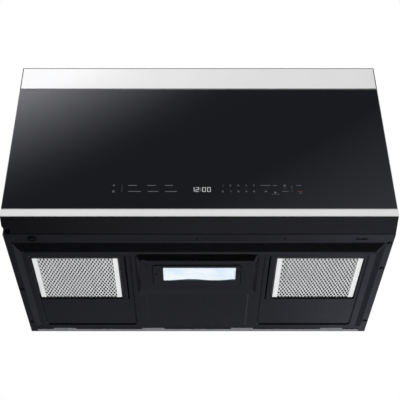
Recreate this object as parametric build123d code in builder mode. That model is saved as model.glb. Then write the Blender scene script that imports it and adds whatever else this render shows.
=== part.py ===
from build123d import *
import math
import os

# Over-the-range microwave oven with a vent hood underneath, in millimetres.
# X runs left to right seen from the front, Y runs back to the wall, Z runs up.
# The origin is on the wall plane, midway across, level with the rim of the base.

# Overall size
WIDTH = 759.0           # outside of the case
DEPTH = 420.0           # wall to the face of the door glass
HEIGHT = 414.0          # rim of the base to the top of the case
SHEET = 1.0             # case sheet
SEAT_GAP = 0.3          # rest gap between pieces that move past each other

# Front: fascia band, door glass, lower trim strip and bevelled foot
FASCIA_HEIGHT = 61.75
GLASS_THICKNESS = 4.0
DOOR_THICKNESS = 38.0
DOOR_GAP = 2.0
TRIM_BOTTOM = 14.2
TRIM_HEIGHT = 16.8
TRIM_JOINT = 0.4
FOOT_TOP = 16.0
FOOT_NOSE = 1.0
FOOT_HEEL = 0.2         # rear edge of the foot above the rim
FOOT_RECESS = 0.8       # nose of the foot behind the face of the trim
FOOT_SIDE_GAP = 0.5
DOOR_WALL = 2.0
DOOR_SHEET = 1.5
HINGE_STILE = 16.5      # width of the solid column beside the hinge pin
HINGE_STILE_DEPTH = 15.5
WINDOW_LEFT_MARGIN = 129.5   # window from the left side of the case
WINDOW_RIGHT_MARGIN = 239.5
WINDOW_SILL = 134.0     # window above the top of the foot
WINDOW_HEAD = 112.25    # window below the top of the door
PANE_LAP = 12.0         # how far the inner glass and screen lap round the window
SCREEN_THICKNESS = 0.8
CHOKE_THICKNESS = 2.5

# Touch board and clock display behind the glass
TOUCH_CENTRE_X = 12.0
TOUCH_WIDTH = 385.0
TOUCH_HEIGHT = 36.0
TOUCH_CENTRE_Z = 80.0
BOARD_THICKNESS = 1.6
DISPLAY_CENTRE_X = 5.0
DISPLAY_WIDTH = 66.0
DISPLAY_HEIGHT = 26.0
DISPLAY_DEPTH = 10.0
DISPLAY_CORNER = 2.0

# Door hinge: two pins on one vertical axis at the left
PIN_INSET = 9.0         # pin axis from the case side and from the back of the door
PIN_RADIUS = 4.0
PIN_LENGTH = 20.0
PIN_PLAY = 0.05
PIN_TIP_GAP = 1.0
BUSH_WALL = 2.0
BRACKET_THICKNESS = 2.0
BRACKET_WIDTH = 11.0
BRACKET_FLANGE = 24.0
LOWER_BRACKET_Z = 6.5
BRACKET_PLAY = 1.0

# Latch bar with two hooks, and the switches that they press
LATCH_INSET = 27.5      # latch bar from the right side of the case
LATCH_BAR_WIDTH = 8.0
LATCH_BAR_DEPTH = 5.0
LATCH_BAR_OVERHANG = 14.0
LOWER_HOOK_RISE = 74.0  # lower hook above the top of the foot
UPPER_HOOK_DROP = 100.25  # upper hook below the top of the door
HOOK_WIDTH = 10.0
HOOK_DEPTH = 10.0
HOOK_REACH = 30.0       # how far a hook stands out behind the door
BARB_DROP = 3.0
BARB_LENGTH = 8.0
LATCH_LIFT = 4.0
LATCH_PLAY = 1.0
SLOT_HEAD_ROOM = 4.0    # door slot above a lifted hook
CATCH_PLATE = 3.0
CATCH_MARGIN = 30.0
CATCH_LEDGE = 12.0
SWITCH_WIDTH = 6.8
SWITCH_DEPTH = 16.0
SWITCH_HEIGHT = 20.0
SWITCH_SPACING = 0.4
PLUNGER_RADIUS = 1.6
PLUNGER_OUT = 2.5
PLUNGER_IN = 6.0
PLUNGER_TRAVEL = 2.0

# Base plate: flat rim, raised deck below it, centre pan for the lamp below the deck
RIM_SIDE = 13.0
DECK_CORNER = 3.0
RIM_FRONT = 29.7
RIM_REAR = 9.0
BASE_REAR_GAP = 15.0    # rear edge of the rim from the wall
DECK_DROP = 8.5
DECK_SLOPE = 16.0
CORNER_TAB = 14.5
CORNER_TAB_GAP = 2.0
PAN_WIDTH = 245.0
PAN_LENGTH = 150.3
PAN_SETBACK = 26.5      # front of the pan behind the front of the deck form
PAN_DROP = 8.5
PAN_SLOPE = 7.5
PAN_REAR_SLOPE = 34.0
PAN_CORNER = 9.0
STEP_WIDTH = 218.0
STEP_DROP = 1.2
STEP_SLOPE = 2.5
STEP_REAR_MARGIN = 17.0  # centre step from the rear edge of the deck
UNDERSIDE_SHIFT = -2.8  # bays, filters and centre step left of the middle
BAY_SIDE_MARGIN = 12.1  # bay from the foot of the deck's side slope
BAY_INNER = 132.5       # inner edge of each bay from the middle of the pair
BAY_FRONT_MARGIN = 27.5  # bay from the front edge of the deck
BAY_REAR_MARGIN = 20.0
BAY_RISE = 2.4
BAY_SLOPE = 2.4
BAY_CORNER = 9.0
GROOVE_INSET = 12.7     # pressed groove beside each filter, from the inner edge of the bay
GROOVE_WIDTH = 3.8
GROOVE_RISE = 1.6
GROOVE_SLOPE = 1.6
GROOVE_CORNER = 0.2
GROOVE_LENGTH = 164.0
LIP_RISE = 1.6          # pressed lip round each filter opening
LIP_FLAT = 0.6
LIP_SLOPE = 1.6
LIP_FRONT_SLOPE = 4.2
LIP_REAR_SLOPE = 2.5

# Grease filters
FILTER_OPENING_DEPTH = 148.8
FILTER_INSET = 26.75    # filter opening from the inner edge of the bay
FILTER_OUTER_MARGIN = 5.65  # filter opening from the outer edge of the bay
FILTER_SETBACK = 19.4   # filter opening from the front edge of the bay
FILTER_LAP = 7.0        # how far a filter laps over the front and rear lips
FILTER_SIDE_GAP = 1.0
FILTER_THICKNESS = 8.0
FILTER_END_RAIL = 10.0
FILTER_SIDE_RAIL = 3.0
FILTER_CORNER = 2.0
MESH_INSET = 0.5
FILTER_TRAVEL = 10.0

# Cooktop lamp
LAMP_COVER_WIDTH = 176.0
LAMP_COVER_DEPTH = 72.0
LAMP_COVER_THICKNESS = 1.2
LAMP_COVER_CORNER = 5.0
LENS_CORNER = 3.0
LAMP_CENTRE_X = -4.0    # middle of the lamp pan and of the lamp cover
LAMP_SETBACK = 62.0     # middle of the cover behind the front of the pan
LENS_CENTRE_X = 1.2
LENS_SETBACK = 56.8
LENS_WIDTH = 146.4
LENS_DEPTH = 46.9
LENS_THICKNESS = 3.0
LENS_FIT = 0.2
LENS_LAP = 1.0          # how far the lens flange laps over the pan
LAMP_HOUSING_HEIGHT = 20.0
LAMP_HOUSING_WALL = 1.5
LED_COUNT = 6
LED_PITCH = 22.0
LED_SIZE = 5.0
LED_HEIGHT = 1.5
LAMP_BOARD_DEPTH = 34.0

# Rear panel with the bracket slots and the tongues that show under its edge
REAR_FLANGE = 10.0
REAR_FLANGE_INSET = 15.5  # ends of the rear flange from the case sides
TONGUE_WIDTH = 50.0
OUTER_TONGUE_INSET = 77.5  # middle of an outer tongue from the case side
INNER_TONGUES = (-101.5, 99.5)
HOOK_SLOT_HEIGHT = 8.0
HOOK_SLOT_Z = 18.0

# Oven cavity
CAVITY_SIDE_GAP = 24.5  # left wall of the cavity from the case side
COMPONENT_BAY = 189.5   # right wall of the cavity from the right case side
CAVITY_FLOOR = 52.0
BLOWER_SPACE = 114.0    # top of the cavity below the top of the case
CAVITY_REAR_GAP = 14.0
CAVITY_SHEET = 1.0
VENT_HOLES = (12, 3)
VENT_HOLE_RADIUS = 2.0
VENT_HOLE_PITCH = 8.0
VENT_HOLE_DROP = 40.0    # middle of the vent holes below the top of the cavity
LAMP_HOLES = (4, 4)
LAMP_HOLE_RADIUS = 1.5
LAMP_HOLE_PITCH = 5.0

# Turntable
TRAY_RADIUS = 160.0
TRAY_THICKNESS = 5.0
TRAY_RIM = 15.0
ROLLER_RADIUS = 7.7
ROLLER_WIDTH = 6.0
ROLLER_BORE = 2.05
ROLLER_COUNT = 3
ROLLER_TRACK = 109.0    # middle of the rollers' path
AXLE_RADIUS = 2.0
RING_RADIUS = 100.0
RING_WIDTH = 8.0
RING_HEIGHT = 5.0
AXLE_CAP_RADIUS = 3.4
AXLE_CAP_THICKNESS = 1.5
DRIVE_SHAFT_RADIUS = 3.5
DRIVE_SHAFT_REACH = 12.0  # length of the shaft inside the motor
SHAFT_END_GAP = 1.0
SHAFT_HOLE_PLAY = 2.0
COUPLER_RADIUS = 20.0
COUPLER_LOBE = 6.0
COUPLER_LIFT = 2.0      # coupler above the cavity floor
COUPLER_POST_RADIUS = 12.0
TURNTABLE_MOTOR_RADIUS = 25.0
TURNTABLE_MOTOR_HEIGHT = 17.0
MOTOR_EAR_SPAN = 70.0
MOTOR_EAR_WIDTH = 12.0

# Microwave parts in the bay right of the cavity
SHELF_REAR_GAP = 100.0  # rear edge of the component shelf from the wall
SHELF_LIP = 10.0
WAVEGUIDE_WIDTH = 38.0
WAVEGUIDE_DEPTH = 85.0
WAVEGUIDE_HEIGHT = 85.0
WAVEGUIDE_SETBACK = 191.5  # middle of the waveguide behind the front plate
WAVEGUIDE_DROP = 52.0   # middle of the waveguide below the top of the cavity
WAVEGUIDE_WALL = 1.2
FEED_WIDTH = 54.0
FEED_HEIGHT = 56.0
FEED_COVER_LAP = 8.0
FEED_COVER_THICKNESS = 0.8
ANTENNA_RADIUS = 8.0
ANTENNA_LENGTH = 26.0
ANTENNA_HOLE_PLAY = 2.0
MAGNETRON_LENGTH = 90.0
MAGNETRON_SIZE = 80.0
MAGNETRON_CORE_RADIUS = 20.0
MAGNETRON_PLATE = 3.0
MAGNETRON_BOX_LENGTH = 20.0
MAGNETRON_BOX_SIZE = 54.0
FIN_COUNT = 7
FIN_PITCH = 7.0
FIN_THICKNESS = 1.0
TRANSFORMER_INSET = 60.0  # middle of the transformer from the cavity wall
TRANSFORMER_SETBACK = 122.0
TRANSFORMER_WIDTH = 95.0
TRANSFORMER_DEPTH = 75.0
TRANSFORMER_HEIGHT = 80.0
COIL_OVERHANG = 11.0
COIL_WIDTH = 66.0
COIL_HEIGHT = 20.0
COIL_LEVELS = (24.0, 56.0)
CAPACITOR_INSET = 46.5  # middle of the capacitor from the case side
CAPACITOR_SETBACK = 103.0
CAPACITOR_WIDTH = 54.0
CAPACITOR_THICKNESS = 34.0
CAPACITOR_HEIGHT = 92.0
TAB_WIDTH = 6.0         # flat terminals
TAB_THICKNESS = 0.8
TAB_HEIGHT = 9.0
TAB_SPACING = 18.0
FAN_INSET = 91.5        # fan axis from the case side
FAN_DROP = 52.0         # fan axis below the top of the cavity
FAN_SIZE = 116.0
FAN_BORE = 54.0
FAN_DEPTH = 24.0
FAN_FRONT_Y = -60.0
FAN_TIP_GAP = 3.0
FAN_BLADES = 5
FAN_MOTOR_RADIUS = 22.0
FAN_MOTOR_LENGTH = 22.0
FAN_SHAFT_RADIUS = 3.0
FAN_SHAFT_REACH = 16.0  # length of the shaft inside the motor
FAN_BAR = 3.0           # thickness of the spider that holds the motor
FAN_BAR_WIDTH = 10.0
FAN_LEG = 10.0
FAN_HUB_RADIUS = 17.6
FAN_HUB_GAP = 2.0
FAN_CHORD = 26.0
FAN_BLADE_THICKNESS = 1.6
FAN_BLADE_PITCH = 30.0
CONTROL_BOARD_HEIGHT = 140.0
CONTROL_BOARD_LENGTH = 130.0
CONTROL_BOARD_SETBACK = 124.0
CONTROL_BOARD_DROP = 100.0  # lower edge of the board below the top of the cavity
BOARD_STANDOFF = 4.0
BOARD_POST_RADIUS = 3.0
BOARD_POST_INSET = 7.0
BOARD_PART_HEIGHT = 18.0
RELAY_COUNT = 4
RELAY_PITCH = 26.0
RELAY_WIDTH = 18.0
RELAY_HEIGHT = 24.0
RELAY_DROP = 35.0       # middle of the relays below the top of the board
POWER_CORE_WIDTH = 40.0
POWER_CORE_HEIGHT = 36.0
POWER_CORE_SHIFT = -20.0
BOARD_CAN_RADIUS = 9.0
BOARD_CAN_SHIFT = 34.0
LOWER_PARTS_RISE = 42.0  # middle of the lower board parts above its lower edge
CAVITY_LAMP_SETBACK = 64.0
CAVITY_LAMP_DROP = 30.0
LAMP_BOX_DEPTH = 12.0
LAMP_BOX_LENGTH = 32.0
LAMP_BOX_HEIGHT = 28.0
REFLECTOR_RADIUS = 10.0
REFLECTOR_DEPTH = 8.0
BULB_RADIUS = 4.0
BULB_GAP = 3.0
LAMP_SOCKET_RADIUS = 8.0
CUTOUT_RADIUS = 8.5
CUTOUT_HEIGHT = 10.0
SIDE_CUTOUT_REAR_GAP = 96.0
SIDE_CUTOUT_DROP = 150.0
TOP_CUTOUT_X = 60.0
TOP_CUTOUT_SETBACK = 129.0

# Vent blower on top of the cavity
BLOWER_Y = -66.0
BLOWER_RISE = 57.0      # blower axis above the top of the cavity
SCROLL_RADIUS = 50.0
SCROLL_WALL = 1.5
SCROLL_WIDTH = 74.0
SCROLL_INNER_X = 38.0
SCROLL_OUTLET_Y = -150.0
SCROLL_OUTLET_HEIGHT = 42.0
WHEEL_RADIUS = 40.0
WHEEL_INNER_RADIUS = 33.0
WHEEL_WIDTH = 64.0
WHEEL_BLADES = 24
BLADE_THICKNESS = 1.0
BLOWER_SHAFT_RADIUS = 4.0
BLOWER_MOTOR_RADIUS = 34.0
BLOWER_MOTOR_LENGTH = 60.0
INLET_RADIUS = 32.0
BLOWER_BASE = 2.0
BLOWER_FOOT = 40.0
FOOT_SINK = 5.0         # how far a foot runs up into the round shell
WHEEL_DISC = 2.0
WHEEL_RIM = 3.0
WHEEL_HUB_LENGTH = 12.0
WHEEL_HUB_RADIUS = 8.0
BLADE_TURN = 35.0
BLADE_EDGE = 0.5        # blades inside the edges of the wheel rim
MOTOR_CORNER = 5.0

# Charcoal filter and the openings in the top
CHARCOAL_SIDE_GAP = 49.5  # ends of the charcoal filter from the case sides
CHARCOAL_HEIGHT = 50.0
CHARCOAL_THICKNESS = 15.0
CHARCOAL_LAP = 5.0
CHARCOAL_BEVEL = 1.5
LOUVRE_MARGIN = 43.5    # row of louvre slots from the case sides
LOUVRE_PITCH = 12.0
LOUVRE_SLOT = 5.0
LOUVRE_LENGTH = 22.0
EXHAUST_WIDTH = 254.0
EXHAUST_DEPTH = 82.5
EXHAUST_Y = -85.0
EXHAUST_LAP = 8.0
CORD_INSET = 59.5       # cord outlet from the case side
CORD_Y = -70.0
GROMMET_RADIUS = 17.5
GROMMET_BORE = 11.0
GROMMET_FLANGE = 3.5
GROMMET_DEPTH = 3.0
CABINET_BOLT_INSET = 94.5
CABINET_BOLT_Y = -255.0
CABINET_BOLT_HOLE = 3.5

# Small things on the rim and pan
SCREW_HEAD_RADIUS = 3.6
SCREW_HEAD_HEIGHT = 1.8
SCREW_SHANK_RADIUS = 1.5
SCREW_LENGTH = 8.0
SCREW_HOLE_PLAY = 0.1
LEFT_SCREWS = (201.5, 338.5)   # rim screws behind the front of the case
RIGHT_SCREWS = (31.0, 120.0, 333.5)
PLUG_INSET = 54.5
PLUG_RADIUS = 8.0
PLUG_HEIGHT = 2.0
PLUG_DISH_RADIUS = 6.2  # hollow in the face of the plug, round its middle
PLUG_DISH_DEPTH = 1.6
PLUG_MIDDLE_RADIUS = 2.8
RIM_HOLES = ((-4.0, 2.0), (16.0, 1.2), (29.0, 1.2), (167.0, 2.4))
RIM_HOLE_SETBACK = 15.0
KEY_SLOT_INSET = 63.5
KEY_SLOT_LENGTH = 24.0
KEY_SLOT_WIDTH = 5.0
LEFT_COVER_SCREW = (-82.0, -3.0)  # from the middle of the lamp cover
RIGHT_COVER_SCREW = (84.0, -12.0)
COVER_SCREW_RADIUS = 2.6
COVER_SCREW_HEAD = 1.0
LOCATING_HOLES_X = (-104.0, 97.0)
LOCATING_HOLE_SETBACK = 23.2
LOCATING_HOLE_RADIUS = 1.5

# Levels and planes worked out from the sizes above
HALF = WIDTH / 2
INSIDE = HALF - SHEET
GLASS_FRONT = -DEPTH
GLASS_BACK = GLASS_FRONT + GLASS_THICKNESS
DOOR_BACK = GLASS_FRONT + DOOR_THICKNESS
CASE_FRONT = DOOR_BACK + DOOR_GAP
PLATE_BACK = CASE_FRONT + SHEET
DOOR_SHEET_BACK = DOOR_BACK - CHOKE_THICKNESS
DOOR_SHEET_FRONT = DOOR_SHEET_BACK - DOOR_SHEET
FASCIA_BOTTOM = HEIGHT - FASCIA_HEIGHT
DOOR_TOP = FASCIA_BOTTOM - DOOR_GAP
GLASS_BOTTOM = TRIM_BOTTOM + TRIM_HEIGHT + TRIM_JOINT
PIN_X = -HALF + PIN_INSET
PIN_Y = DOOR_BACK - PIN_INSET
DECK_Z = -DECK_DROP
PAN_Z = DECK_Z - PAN_DROP
BASE_REAR = -BASE_REAR_GAP
DECK_FRONT = CASE_FRONT + RIM_FRONT
DECK_REAR = BASE_REAR - RIM_REAR
PAN_FRONT = DECK_FRONT + PAN_SETBACK
PAN_REAR = PAN_FRONT + PAN_LENGTH
BAY_SHEET_TOP = DECK_Z + BAY_RISE + SHEET
FILTER_BOTTOM = BAY_SHEET_TOP + LIP_RISE + SEAT_GAP
BAY_OUTER = HALF - RIM_SIDE - DECK_SLOPE - BAY_SIDE_MARGIN
BAY_FRONT = DECK_FRONT + BAY_FRONT_MARGIN
BAY_REAR = DECK_REAR - BAY_REAR_MARGIN
BAY_INNER_EDGES = (UNDERSIDE_SHIFT - BAY_INNER, UNDERSIDE_SHIFT + BAY_INNER)
FILTER_OPENING_WIDTH = BAY_OUTER - FILTER_OUTER_MARGIN - BAY_INNER - FILTER_INSET
FILTER_OFFSET = BAY_INNER + FILTER_INSET + FILTER_OPENING_WIDTH / 2
FILTER_CENTRES_X = (UNDERSIDE_SHIFT - FILTER_OFFSET, UNDERSIDE_SHIFT + FILTER_OFFSET)
FILTER_CENTRE_Y = BAY_FRONT + FILTER_SETBACK + FILTER_OPENING_DEPTH / 2
LAMP_CENTRE_Y = PAN_FRONT + LAMP_SETBACK
LENS_CENTRE_Y = PAN_FRONT + LENS_SETBACK
COVER_SCREWS = (
    (LAMP_CENTRE_X + LEFT_COVER_SCREW[0], LAMP_CENTRE_Y + LEFT_COVER_SCREW[1]),
    (LAMP_CENTRE_X + RIGHT_COVER_SCREW[0], LAMP_CENTRE_Y + RIGHT_COVER_SCREW[1]),
)
LOCATING_HOLE_Y = PAN_FRONT + LOCATING_HOLE_SETBACK
RIM_SCREWS = (
    *((-HALF + RIM_SIDE / 2, CASE_FRONT + setback) for setback in LEFT_SCREWS),
    *((HALF - RIM_SIDE / 2, CASE_FRONT + setback) for setback in RIGHT_SCREWS),
)
PLUG_X = -HALF + PLUG_INSET
KEY_SLOT_X = HALF - KEY_SLOT_INSET
REAR_FLANGE_WIDTH = WIDTH - 2 * REAR_FLANGE_INSET
TONGUE_CENTRES = (OUTER_TONGUE_INSET - HALF, *INNER_TONGUES, HALF - OUTER_TONGUE_INSET)
CAVITY_LEFT = -HALF + CAVITY_SIDE_GAP
CAVITY_RIGHT = HALF - COMPONENT_BAY
CAVITY_TOP = HEIGHT - BLOWER_SPACE
CAVITY_BACK = -CAVITY_REAR_GAP
TURNTABLE_X = (CAVITY_LEFT + CAVITY_RIGHT) / 2
TURNTABLE_Y = (PLATE_BACK + CAVITY_BACK) / 2
WINDOW_LEFT = -HALF + WINDOW_LEFT_MARGIN
WINDOW_RIGHT = HALF - WINDOW_RIGHT_MARGIN
WINDOW_BOTTOM = FOOT_TOP + WINDOW_SILL
WINDOW_TOP = DOOR_TOP - WINDOW_HEAD
LATCH_X = HALF - LATCH_INSET
HOOK_HEIGHTS = (FOOT_TOP + LOWER_HOOK_RISE, DOOR_TOP - UPPER_HOOK_DROP)
WAVEGUIDE_CENTRE_Y = PLATE_BACK + WAVEGUIDE_SETBACK
WAVEGUIDE_CENTRE_Z = CAVITY_TOP - WAVEGUIDE_DROP
TRANSFORMER_X = CAVITY_RIGHT + TRANSFORMER_INSET
TRANSFORMER_Y = PLATE_BACK + TRANSFORMER_SETBACK
CAPACITOR_X = HALF - CAPACITOR_INSET
CAPACITOR_Y = PLATE_BACK + CAPACITOR_SETBACK
FAN_X = HALF - FAN_INSET
FAN_Z = CAVITY_TOP - FAN_DROP
CONTROL_BOARD_Y = PLATE_BACK + CONTROL_BOARD_SETBACK
CONTROL_BOARD_Z = CAVITY_TOP - CONTROL_BOARD_DROP
CAVITY_LAMP_Y = PLATE_BACK + CAVITY_LAMP_SETBACK
CAVITY_LAMP_Z = CAVITY_TOP - CAVITY_LAMP_DROP
SIDE_CUTOUT_Y = CAVITY_BACK - SIDE_CUTOUT_REAR_GAP
SIDE_CUTOUT_Z = CAVITY_TOP - SIDE_CUTOUT_DROP
TOP_CUTOUT_Y = PLATE_BACK + TOP_CUTOUT_SETBACK
CHARCOAL_WIDTH = WIDTH - 2 * CHARCOAL_SIDE_GAP
CHARCOAL_Z = (FASCIA_BOTTOM + HEIGHT) / 2
LOUVRE_COUNT = int((WIDTH - 2 * LOUVRE_MARGIN) / LOUVRE_PITCH)
CORD_X = HALF - CORD_INSET
CABINET_BOLT_SPACING = WIDTH - 2 * CABINET_BOLT_INSET
FLOOR_TOP = CAVITY_FLOOR + CAVITY_SHEET
ROLLER_Z = FLOOR_TOP + SEAT_GAP + ROLLER_RADIUS
TRAY_BOTTOM = ROLLER_Z + ROLLER_RADIUS + SEAT_GAP
BLOWER_Z = CAVITY_TOP + BLOWER_RISE
HOOK_TIP = DOOR_BACK + HOOK_REACH
SWITCH_FACE = HOOK_TIP + SEAT_GAP + PLUNGER_OUT
LAMP_PLATE_BOTTOM = PAN_Z - LAMP_COVER_THICKNESS

os.makedirs("parts", exist_ok=True)


def block(x0, x1, y0, y1, z0, z1, mode=Mode.ADD):
    """A rectangular block between two faces along each axis."""
    with BuildSketch(Plane.XY.offset(z0)) as outline:
        with Locations(((x0 + x1) / 2, (y0 + y1) / 2)):
            Rectangle(x1 - x0, y1 - y0)
    extrude(outline.sketch, amount=z1 - z0, mode=mode)


def post(x, y, radius, z0, z1, mode=Mode.ADD):
    """An upright cylinder."""
    with BuildSketch(Plane.XY.offset(z0)) as outline:
        with Locations((x, y)):
            Circle(radius)
    extrude(outline.sketch, amount=z1 - z0, mode=mode)


def rod_x(y, z, radius, x0, x1, mode=Mode.ADD):
    """A cylinder that runs left to right."""
    with BuildSketch(Plane.YZ.offset(x0)) as outline:
        with Locations((y, z)):
            Circle(radius)
    extrude(outline.sketch, amount=x1 - x0, mode=mode)


def rod_y(x, z, radius, y0, y1, mode=Mode.ADD):
    """A cylinder that runs front to back."""
    with BuildSketch(Plane.XZ.offset(-y0)) as outline:
        with Locations((x, z)):
            Circle(radius)
    extrude(outline.sketch, amount=-(y1 - y0), mode=mode)


def frustum(top, top_z, bottom, bottom_z, corner, mode=Mode.ADD):
    """A tapered form between two rectangles, each given as x0, x1, y0, y1."""
    with BuildSketch(Plane.XY.offset(top_z)) as upper:
        with Locations(((top[0] + top[1]) / 2, (top[2] + top[3]) / 2)):
            RectangleRounded(top[1] - top[0], top[3] - top[2], corner)
    with BuildSketch(Plane.XY.offset(bottom_z)) as lower:
        with Locations(((bottom[0] + bottom[1]) / 2, (bottom[2] + bottom[3]) / 2)):
            RectangleRounded(bottom[1] - bottom[0], bottom[3] - bottom[2], corner)
    loft([upper.sketch.face(), lower.sketch.face()], ruled=True, mode=mode)


# ---------------------------------------------------------------- case

with BuildPart() as outer_wrapper:
    block(-HALF, HALF, CASE_FRONT, 0, 0, HEIGHT)
    block(-INSIDE, INSIDE, CASE_FRONT, 0, 0, HEIGHT - SHEET, Mode.SUBTRACT)
    block(
        -EXHAUST_WIDTH / 2, EXHAUST_WIDTH / 2,
        EXHAUST_Y - EXHAUST_DEPTH / 2, EXHAUST_Y + EXHAUST_DEPTH / 2,
        HEIGHT - SHEET, HEIGHT, Mode.SUBTRACT,
    )
    post(CORD_X, CORD_Y, GROMMET_RADIUS, HEIGHT - SHEET, HEIGHT, Mode.SUBTRACT)
    with BuildSketch(Plane.XY.offset(HEIGHT - SHEET)):
        with Locations((0, CABINET_BOLT_Y)):
            with GridLocations(CABINET_BOLT_SPACING, 0, 2, 1):
                Circle(CABINET_BOLT_HOLE)
    extrude(amount=SHEET, mode=Mode.SUBTRACT)
outer_wrapper.part.label = "outer_wrapper"
export_step(outer_wrapper.part, "parts/outer_wrapper.step")

with BuildPart() as rear_panel:
    block(-INSIDE, INSIDE, -SHEET, 0, 0, HEIGHT - SHEET)
    block(
        -REAR_FLANGE_WIDTH / 2, REAR_FLANGE_WIDTH / 2,
        -REAR_FLANGE, -SHEET, 0, SHEET,
    )
    for tongue_x in TONGUE_CENTRES:
        block(
            tongue_x - TONGUE_WIDTH / 2, tongue_x + TONGUE_WIDTH / 2,
            BASE_REAR, -REAR_FLANGE, 0, SHEET,
        )
        block(
            tongue_x - TONGUE_WIDTH / 2, tongue_x + TONGUE_WIDTH / 2, -SHEET, 0,
            HOOK_SLOT_Z - HOOK_SLOT_HEIGHT / 2, HOOK_SLOT_Z + HOOK_SLOT_HEIGHT / 2,
            Mode.SUBTRACT,
        )
rear_panel.part.label = "rear_panel"
export_step(rear_panel.part, "parts/rear_panel.step")


def deck_form(lift, inset):
    """The deck, lamp pan, rear step and bays as one mass, raised and drawn in by a wall."""
    deck_x = INSIDE + SHEET - RIM_SIDE - inset
    deck_y = (DECK_FRONT + inset, DECK_REAR - inset)
    low_y = (deck_y[0] + DECK_SLOPE, deck_y[1] - DECK_SLOPE)
    pan_x = (LAMP_CENTRE_X - PAN_WIDTH / 2 + inset, LAMP_CENTRE_X + PAN_WIDTH / 2 - inset)
    pan_y = (PAN_FRONT + inset, PAN_REAR - inset)
    step_x = (UNDERSIDE_SHIFT - STEP_WIDTH / 2 + inset, UNDERSIDE_SHIFT + STEP_WIDTH / 2 - inset)
    step_y = (PAN_REAR - PAN_REAR_SLOPE, DECK_REAR - STEP_REAR_MARGIN - inset)
    with BuildPart() as form:
        frustum(
            (-deck_x, deck_x, *deck_y), lift,
            (DECK_SLOPE - deck_x, deck_x - DECK_SLOPE, *low_y), DECK_Z + lift, DECK_CORNER,
        )
        frustum(
            (*pan_x, *pan_y), DECK_Z + lift,
            (pan_x[0] + PAN_SLOPE, pan_x[1] - PAN_SLOPE, pan_y[0] + PAN_SLOPE, pan_y[1] - PAN_REAR_SLOPE),
            PAN_Z + lift, PAN_CORNER - inset,
        )
        frustum(
            (*step_x, *step_y), DECK_Z + lift,
            (step_x[0] + STEP_SLOPE, step_x[1] - STEP_SLOPE, step_y[0], step_y[1] - STEP_SLOPE),
            DECK_Z - STEP_DROP + lift, DECK_CORNER,
        )
        for side, inner in zip((-1, 1), BAY_INNER_EDGES):
            low_x, high_x = sorted((inner, side * BAY_OUTER))
            bay = (low_x - inset, high_x + inset, BAY_FRONT - inset, BAY_REAR + inset)
            floor = (bay[0] + BAY_SLOPE, bay[1] - BAY_SLOPE, bay[2] + BAY_SLOPE, bay[3] - BAY_SLOPE)
            bay_top = DECK_Z + BAY_RISE + lift
            frustum(floor, bay_top, bay, DECK_Z + lift, BAY_CORNER + inset, Mode.SUBTRACT)
            groove_x = inner + side * GROOVE_INSET
            groove_y = (BAY_FRONT + BAY_CORNER - inset, BAY_FRONT + BAY_CORNER + GROOVE_LENGTH + inset)
            half = GROOVE_WIDTH / 2 + inset
            frustum(
                (
                    groove_x - half + GROOVE_SLOPE, groove_x + half - GROOVE_SLOPE,
                    groove_y[0] + GROOVE_SLOPE, groove_y[1] - GROOVE_SLOPE,
                ),
                bay_top + GROOVE_RISE,
                (groove_x - half, groove_x + half, *groove_y), bay_top, GROOVE_CORNER, Mode.SUBTRACT,
            )
        for filter_x in FILTER_CENTRES_X:
            half_x = FILTER_OPENING_WIDTH / 2 + LIP_FLAT + inset
            half_y = FILTER_OPENING_DEPTH / 2 + LIP_FLAT + inset
            flat = (filter_x - half_x, filter_x + half_x, FILTER_CENTRE_Y - half_y, FILTER_CENTRE_Y + half_y)
            foot = (
                flat[0] - LIP_SLOPE, flat[1] + LIP_SLOPE,
                flat[2] - LIP_FRONT_SLOPE, flat[3] + LIP_REAR_SLOPE,
            )
            lip_foot = DECK_Z + BAY_RISE + lift
            frustum(flat, lip_foot + LIP_RISE, foot, lip_foot, LIP_SLOPE, Mode.SUBTRACT)
    return form.part


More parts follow.
